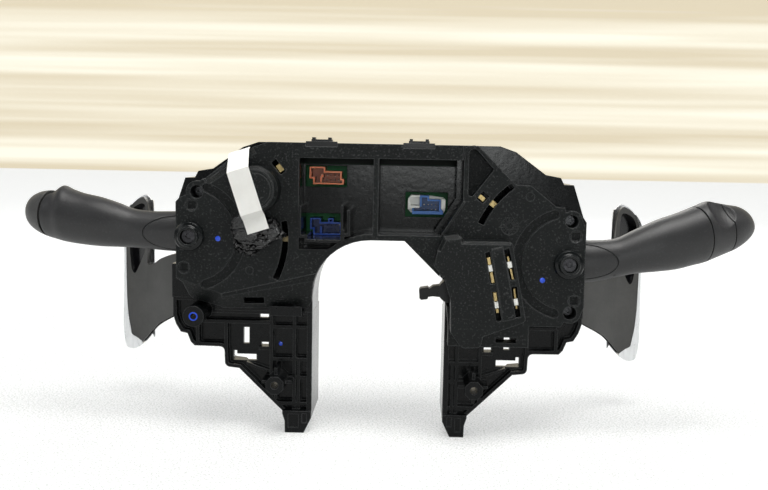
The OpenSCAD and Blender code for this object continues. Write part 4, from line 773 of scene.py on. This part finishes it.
stalk_plastic = moulded("stalk_grey", (0.0085, 0.0085, 0.0091), (0.0120, 0.0120, 0.0127), 0.45,
                        0.0005, 0.00010, edge=0.0002, speck=0.008, gloss=0.5)
inner_plastic = moulded("stalk_inside", (0.006, 0.006, 0.006), (0.010, 0.010, 0.010), 0.6,
                        0.0012, 0.00003, gloss=0.2)


def dress(piece, body, *stands_for):
    piece.data.materials.clear()
    piece.data.materials.append(stalk_plastic)
    piece.data.materials.append(inner_plastic)
    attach(piece, body)
    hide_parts(*stands_for)


# The left stalk ends in a domed button, which slides in a dark collar; its body is notched over
# the button on the upper side, and hollow behind it.
left_skin = smooth_line(left_line)
left_end = tip(193, 92.2, left_rise)
notch_depth, notch_at, notch_spread = 4.2, 96, 27
from_notch = np.abs(np.degrees(round_it) - notch_at) / notch_spread
notch = -notch_depth * np.exp(-from_notch ** 3)
wall, hollow_floor = 1.3, -8
rings = between(left_skin, all_round(left_line[0][0]),
                crossing(left_skin, left_end, notch - lip), 90)
rings += rolled(left_skin, left_end, notch, 1)
rings += [skin(left_skin, crossing(left_skin, left_end, at), -wall)
          for at in (notch, hollow_floor)]
left_body = lofted("left_stalk_skin", rings, -1, dark_rows=range(len(rings) - 3, len(rings)))
cut(left_body, inlay_groove(left_skin, (113.5, 84), -1))
dress(left_body, "left_stalk", "left_stalk_body", "left_stalk_insert")

cap_from, neck_from, neck_in, seam_in = 1.6, -5.5, 2.6, 0.9
rings = [skin(left_skin, crossing(left_skin, left_end, at), -inwards)
         for at, inwards in ((neck_from, neck_in), (cap_from, neck_in), (cap_from, seam_in))]
rings += rolled(left_skin, left_end, cap_from, -1)
rings += between(left_skin, crossing(left_skin, left_end, cap_from + lip),
                 all_round(left_line[-1][0]), 60, power=1.7)
left_cap = lofted("left_tip_cap", rings, -1, dark_rows=(0,))
dress(left_cap, "left_button", "left_tip_button")
left_cap.data.materials[0] = moulded("cap_grey", (0.030, 0.030, 0.029), (0.040, 0.040, 0.038),
                                     0.44, 0.0005, 0.00008, edge=0.0002, speck=0.008)

# The right stalk carries a ring and an end knob on one shaft, with a hollow for the thumb across
# both. All three are bored for the shaft, the body a little wider.
right_skin = smooth_line(right_line)
right_end = tip(184, 88.4, math.radians(12))
body_bore, body_bore_floor = 4.8, -18.2
rings = between(right_skin, all_round(right_line[0][0]),
                crossing(right_skin, right_end, -lip), 80)
rings += rolled(right_skin, right_end, 0, 1)
rings += [tube_wall(rings[-1], right_end, at, body_bore) for at in (0, body_bore_floor)]
right_body = lofted("right_stalk_skin", rings, 1, dark_rows=range(len(rings) - 3, len(rings)))
cut(right_body, inlay_groove(right_skin, (115.5, 72.7), 1))
dress(right_body, "right_stalk", "right_stalk_body", "right_stalk_insert")

ring_from, ring_to, bore = 0.5, 16.5, 4.62
rings = rolled(right_skin, right_end, ring_from, -1)
rings += between(right_skin, crossing(right_skin, right_end, ring_from + lip),
                 crossing(right_skin, right_end, ring_to - lip), 70)
rings += rolled(right_skin, right_end, ring_to, 1)
rings = [thumb_hollow(ring, right_end) for ring in rings]
rings += [tube_wall(rings[-1], right_end, ring_to, bore),
          tube_wall(rings[0], right_end, ring_from, bore)]
turning_ring = lofted("right_turning_ring", rings, 1, endless=True)
dress(turning_ring, "ring", "right_ring")

knob_from, knob_bore_end = 17.0, 25.9
rings = rolled(right_skin, right_end, knob_from, -1)
rings += between(right_skin, crossing(right_skin, right_end, knob_from + lip),
                 all_round(right_line[-1][0]), 70, power=1.7)
rings = [thumb_hollow(ring, right_end) for ring in rings]
rings = [tube_wall(rings[0], right_end, at, bore) for at in (knob_bore_end, knob_from)] + rings
end_knob = lofted("right_end_knob", rings, 1)
dress(end_knob, "knob", "right_knob")

# ---------- Paddles ----------
# Warm grey nylon blades that curve away from the housing, each with a recess down its upper
# finger painted black as shade. A satin metal skin covers the driver's side and folds round the
# outer edge and the tip.
pin_out, pin_depth, root_out, reach = 106.0, 57.0, 112.0, 167.0
blade, skin_t, sweep = 7.0, 1.2, 27.0
finger = reach - 15.6
recess_floor, shade_liner_from, shade_liner_to, fold_from = blade - 2.4, blade - 2.6, blade - 0.1, -0.4


def share_out(share):
    """A share of the way from the blade's root to its reach."""
    return root_out + share * (reach - root_out)


paddle_edge = [
    (pin_out + 3, 61.5), (pin_out + 3, 46.6), (pin_out + 7.5, 45.8), (share_out(0.055), 40),
    (share_out(0.22), 30.5), (share_out(0.435), 23.4), (share_out(0.565), 18.6),
    (share_out(0.69), 11.6), (share_out(0.8), 5), (share_out(0.89), 2.2), (reach - 1.5, 3.4),
    (reach, 16), (reach - 0.6, 40), (reach - 1, 62), (reach - 1, 80), (reach - 2, 89),
    (reach - 5, 95.2), (reach - 9, 98.8), (reach - 13.6, 100.8), (finger - 0.8, 98),
    (finger - 2.4, 92), (finger - 3, 80), (finger - 2.4, 68), (finger - 0.8, 58),
    (share_out(0.63), 57.6), (share_out(0.5), 62.4), (share_out(0.3), 66.4),
    (pin_out + 6.5, 68.4), (pin_out + 5, 62)]
recess_edge = [(finger + out, height) for out, height in (
    (0.4, 95), (-0.4, 80), (0.6, 67), (4.6, 58), (8, 51.6), (9.6, 51.2), (11, 54), (12, 64),
    (12, 86), (9.2, 93.4), (3.6, 96.6))]
skin_edge = [(reach + 1.2, 16), (reach + 0.6, 40), (reach + 0.2, 62), (reach + 0.2, 80),
             (reach - 0.9, 89.6)]
metal_front = [
    (finger - 4, 13.2), (share_out(0.68), 10.6), (share_out(0.79), 3.9), (share_out(0.89), 1),
    (reach - 0.6, 2.4), *skin_edge, (reach - 4.2, 96.1), (reach - 8.5, 100),
    (reach - 13.6, 102), (finger - 2, 98.8), (finger - 4, 92)]
metal_fold = [
    (share_out(0.775), 5.6), (share_out(0.79), 3.9), (share_out(0.89), 1), (reach - 0.6, 2.4),
    *skin_edge, (reach - 4.6, 95.6), (reach - 3.4, 92), (reach - 2, 86), (reach - 1.2, 76),
    (reach - 1.1, 60), (reach - 1.3, 34), (reach - 2.2, 22), (reach - 3.6, 14),
    (share_out(0.92), 10.2), (share_out(0.86), 8.6)]


def rear_of(out):
    """The depth of the blade's rear face: level at the root, then swept towards the driver."""
    t = min(1.0, max(0.0, (out - root_out) / (reach - root_out)))
    return pin_depth - 4 + sweep * t * t * (3 - 2 * t)


def rounded(corners):
    """A closed outline whose corners are drawn through by one smooth curve."""
    knots = np.array(corners, float)
    points, steps, pull = [], 4, 0.36
    for i in range(len(knots)):
        a, b, c, d = (knots[(i + k) % len(knots)] for k in (-1, 0, 1, 2))
        for t in np.arange(steps) / steps:
            tangents = (c - a) * pull, (d - b) * pull
            h = (2 * t ** 3 - 3 * t ** 2 + 1, t ** 3 - 2 * t ** 2 + t,
                 3 * t ** 2 - 2 * t ** 3, t ** 3 - t ** 2)
            points.append(tuple(h[0] * b + h[1] * tangents[0] + h[2] * c + h[3] * tangents[1]))
    return points


def creased(mesh):
    """Shades a mesh smooth, with sharp edges where it turns by more than a little."""
    mesh.shade_smooth()
    mesh.set_sharp_from_angle(angle=math.radians(38))


def curved_slab(name, outline, near, far, mirror, soften=0.0):
    """An outline cut from a sheet that follows the blade's rear face, between two depths."""
    form = bmesh.new()
    form.faces.new([form.verts.new((out, 0, height)) for out, height in outline])
    # It is cut across into strips, so that it can follow the bend.
    outs, strip = [out for out, _ in outline], 2.0
    for place in np.arange(math.ceil(min(outs)) + 1, max(outs), strip):
        bmesh.ops.bisect_plane(form, geom=form.verts[:] + form.edges[:] + form.faces[:],
                               dist=1e-5, plane_co=(place, 0, 0), plane_no=(1, 0, 0))
    solid = bmesh.ops.extrude_face_region(form, geom=form.faces[:])
    back = {v for v in solid["geom"] if isinstance(v, bmesh.types.BMVert)}
    for v in form.verts:
        out = v.co.x
        v.co = Vector((out * mirror, rear_of(out) + (far if v in back else near), v.co.z)) * mm
    bmesh.ops.recalc_face_normals(form, faces=form.faces)
    if soften:
        rim = [e for e in form.edges
               if len(e.link_faces) == 2 and e.calc_face_angle(0) > math.radians(50)]
        bmesh.ops.bevel(form, geom=rim, offset=soften * mm, segments=3, profile=0.6,
                        affect="EDGES", clamp_overlap=True)
    piece = placed(name, into_mesh(form, bpy.data.meshes.new(name)))
    creased(piece.data)
    return piece


def merge(first, other):
    """Puts the other piece's mesh into the first piece as a separate shell."""
    form = bmesh.new()
    form.from_mesh(first.data)
    form.from_mesh(other.data)
    into_mesh(form, first.data)
    bpy.data.objects.remove(other)
    creased(first.data)


def eye_and_tail(name, mirror):
    """The round eye that turns on the pin, and the flat tail that works the switch."""
    bore_radius, eye_radius, eye_low, eye_high, chamfer, turns = 2.06, 4.5, 46.3, 62, 0.4, 40
    tail_middle, tail_size = (pin_out - 9.5, pin_depth + 3, 55), (13, 2.4, 10)
    form = bmesh.new()
    rings = []
    for radius, height in (
            (bore_radius, eye_low), (eye_radius - chamfer, eye_low),
            (eye_radius, eye_low + chamfer), (eye_radius, eye_high - chamfer),
            (eye_radius - chamfer, eye_high), (bore_radius, eye_high)):
        rings.append([form.verts.new((pin_out + radius * math.cos(2 * math.pi * k / turns),
                                      pin_depth + radius * math.sin(2 * math.pi * k / turns),
                                      height)) for k in range(turns)])
    for low, high in zip(rings, rings[1:] + rings[:1]):
        for k in range(turns):
            form.faces.new((low[k], low[(k + 1) % turns], high[(k + 1) % turns], high[k]))
    tail = bmesh.ops.create_cube(form, size=1)["verts"]
    for v in tail:
        v.co = Vector([m + c * s for m, c, s in zip(tail_middle, v.co, tail_size)])
    edges = list({e for v in tail for e in v.link_edges})
    bmesh.ops.bevel(form, geom=edges, offset=chamfer, segments=2, profile=0.5, affect="EDGES")
    for v in form.verts:
        v.co = Vector((v.co.x * mirror, v.co.y, v.co.z)) * mm
    bmesh.ops.recalc_face_normals(form, faces=form.faces)
    return placed(name, into_mesh(form, bpy.data.meshes.new(name)))


paddle_grey = moulded("paddle_grey", (0.040, 0.040, 0.038), (0.064, 0.063, 0.060), 0.38,
                      0.0008, 0.00006, edge=0.0003, speck=0.006, gloss=0.45)
# Near black: painted shade for the inside of the finger's recess and the line under the blade.
recess_shade_black = moulded("recess_shade_black", (0.004, 0.004, 0.005), (0.007, 0.007, 0.008), 0.16,
                       0.0030, 0.00002, edge=0.0003)
satin_skin = metal("satin_skin", (0.62, 0.63, 0.64), (0.76, 0.77, 0.78), 0.30, 0.2)
# A thin black sheet shows 1 mm below the blade's lower edge as a line of painted shade under that
# edge; at the root it starts inside the blade.
lower_edge = [(out, height - 1.0 if height < 45 else height + 1.5)
              for out, height in paddle_edge[2:10]]
shade_liner_edge = rounded(lower_edge + [(share_out(0.89), 12), (pin_out + 14, 52)])
for side_name, mirror in (("left", -1), ("right", 1)):
    body = side_name + "_paddle"
    plate = curved_slab(side_name + "_blade", rounded(paddle_edge), 0, blade, mirror, soften=1.1)
    hollow = curved_slab("hollow", rounded(recess_edge), -3, recess_floor, mirror)
    for paint in (paddle_grey, recess_shade_black):
        plate.data.materials.append(paint)
        hollow.data.materials.append(paint)
    for face in hollow.data.polygons:
        face.material_index = 1
    cut(plate, hollow)
    merge(plate, eye_and_tail("eye", mirror))
    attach(plate, body)
    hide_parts(body)

    shade_liner = curved_slab(side_name + "_liner", shade_liner_edge, shade_liner_from, shade_liner_to, mirror)
    shade_liner.data.materials.append(recess_shade_black)
    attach(shade_liner, body)

    cover = curved_slab(side_name + "_metal_skin", rounded(metal_front), blade,
                        blade + skin_t, mirror)
    merge(cover, curved_slab("fold", rounded(metal_fold), fold_from, blade + 0.01, mirror))
    cover.data.materials.append(satin_skin)
    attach(cover, body)
    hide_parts(side_name + "_paddle_trim")
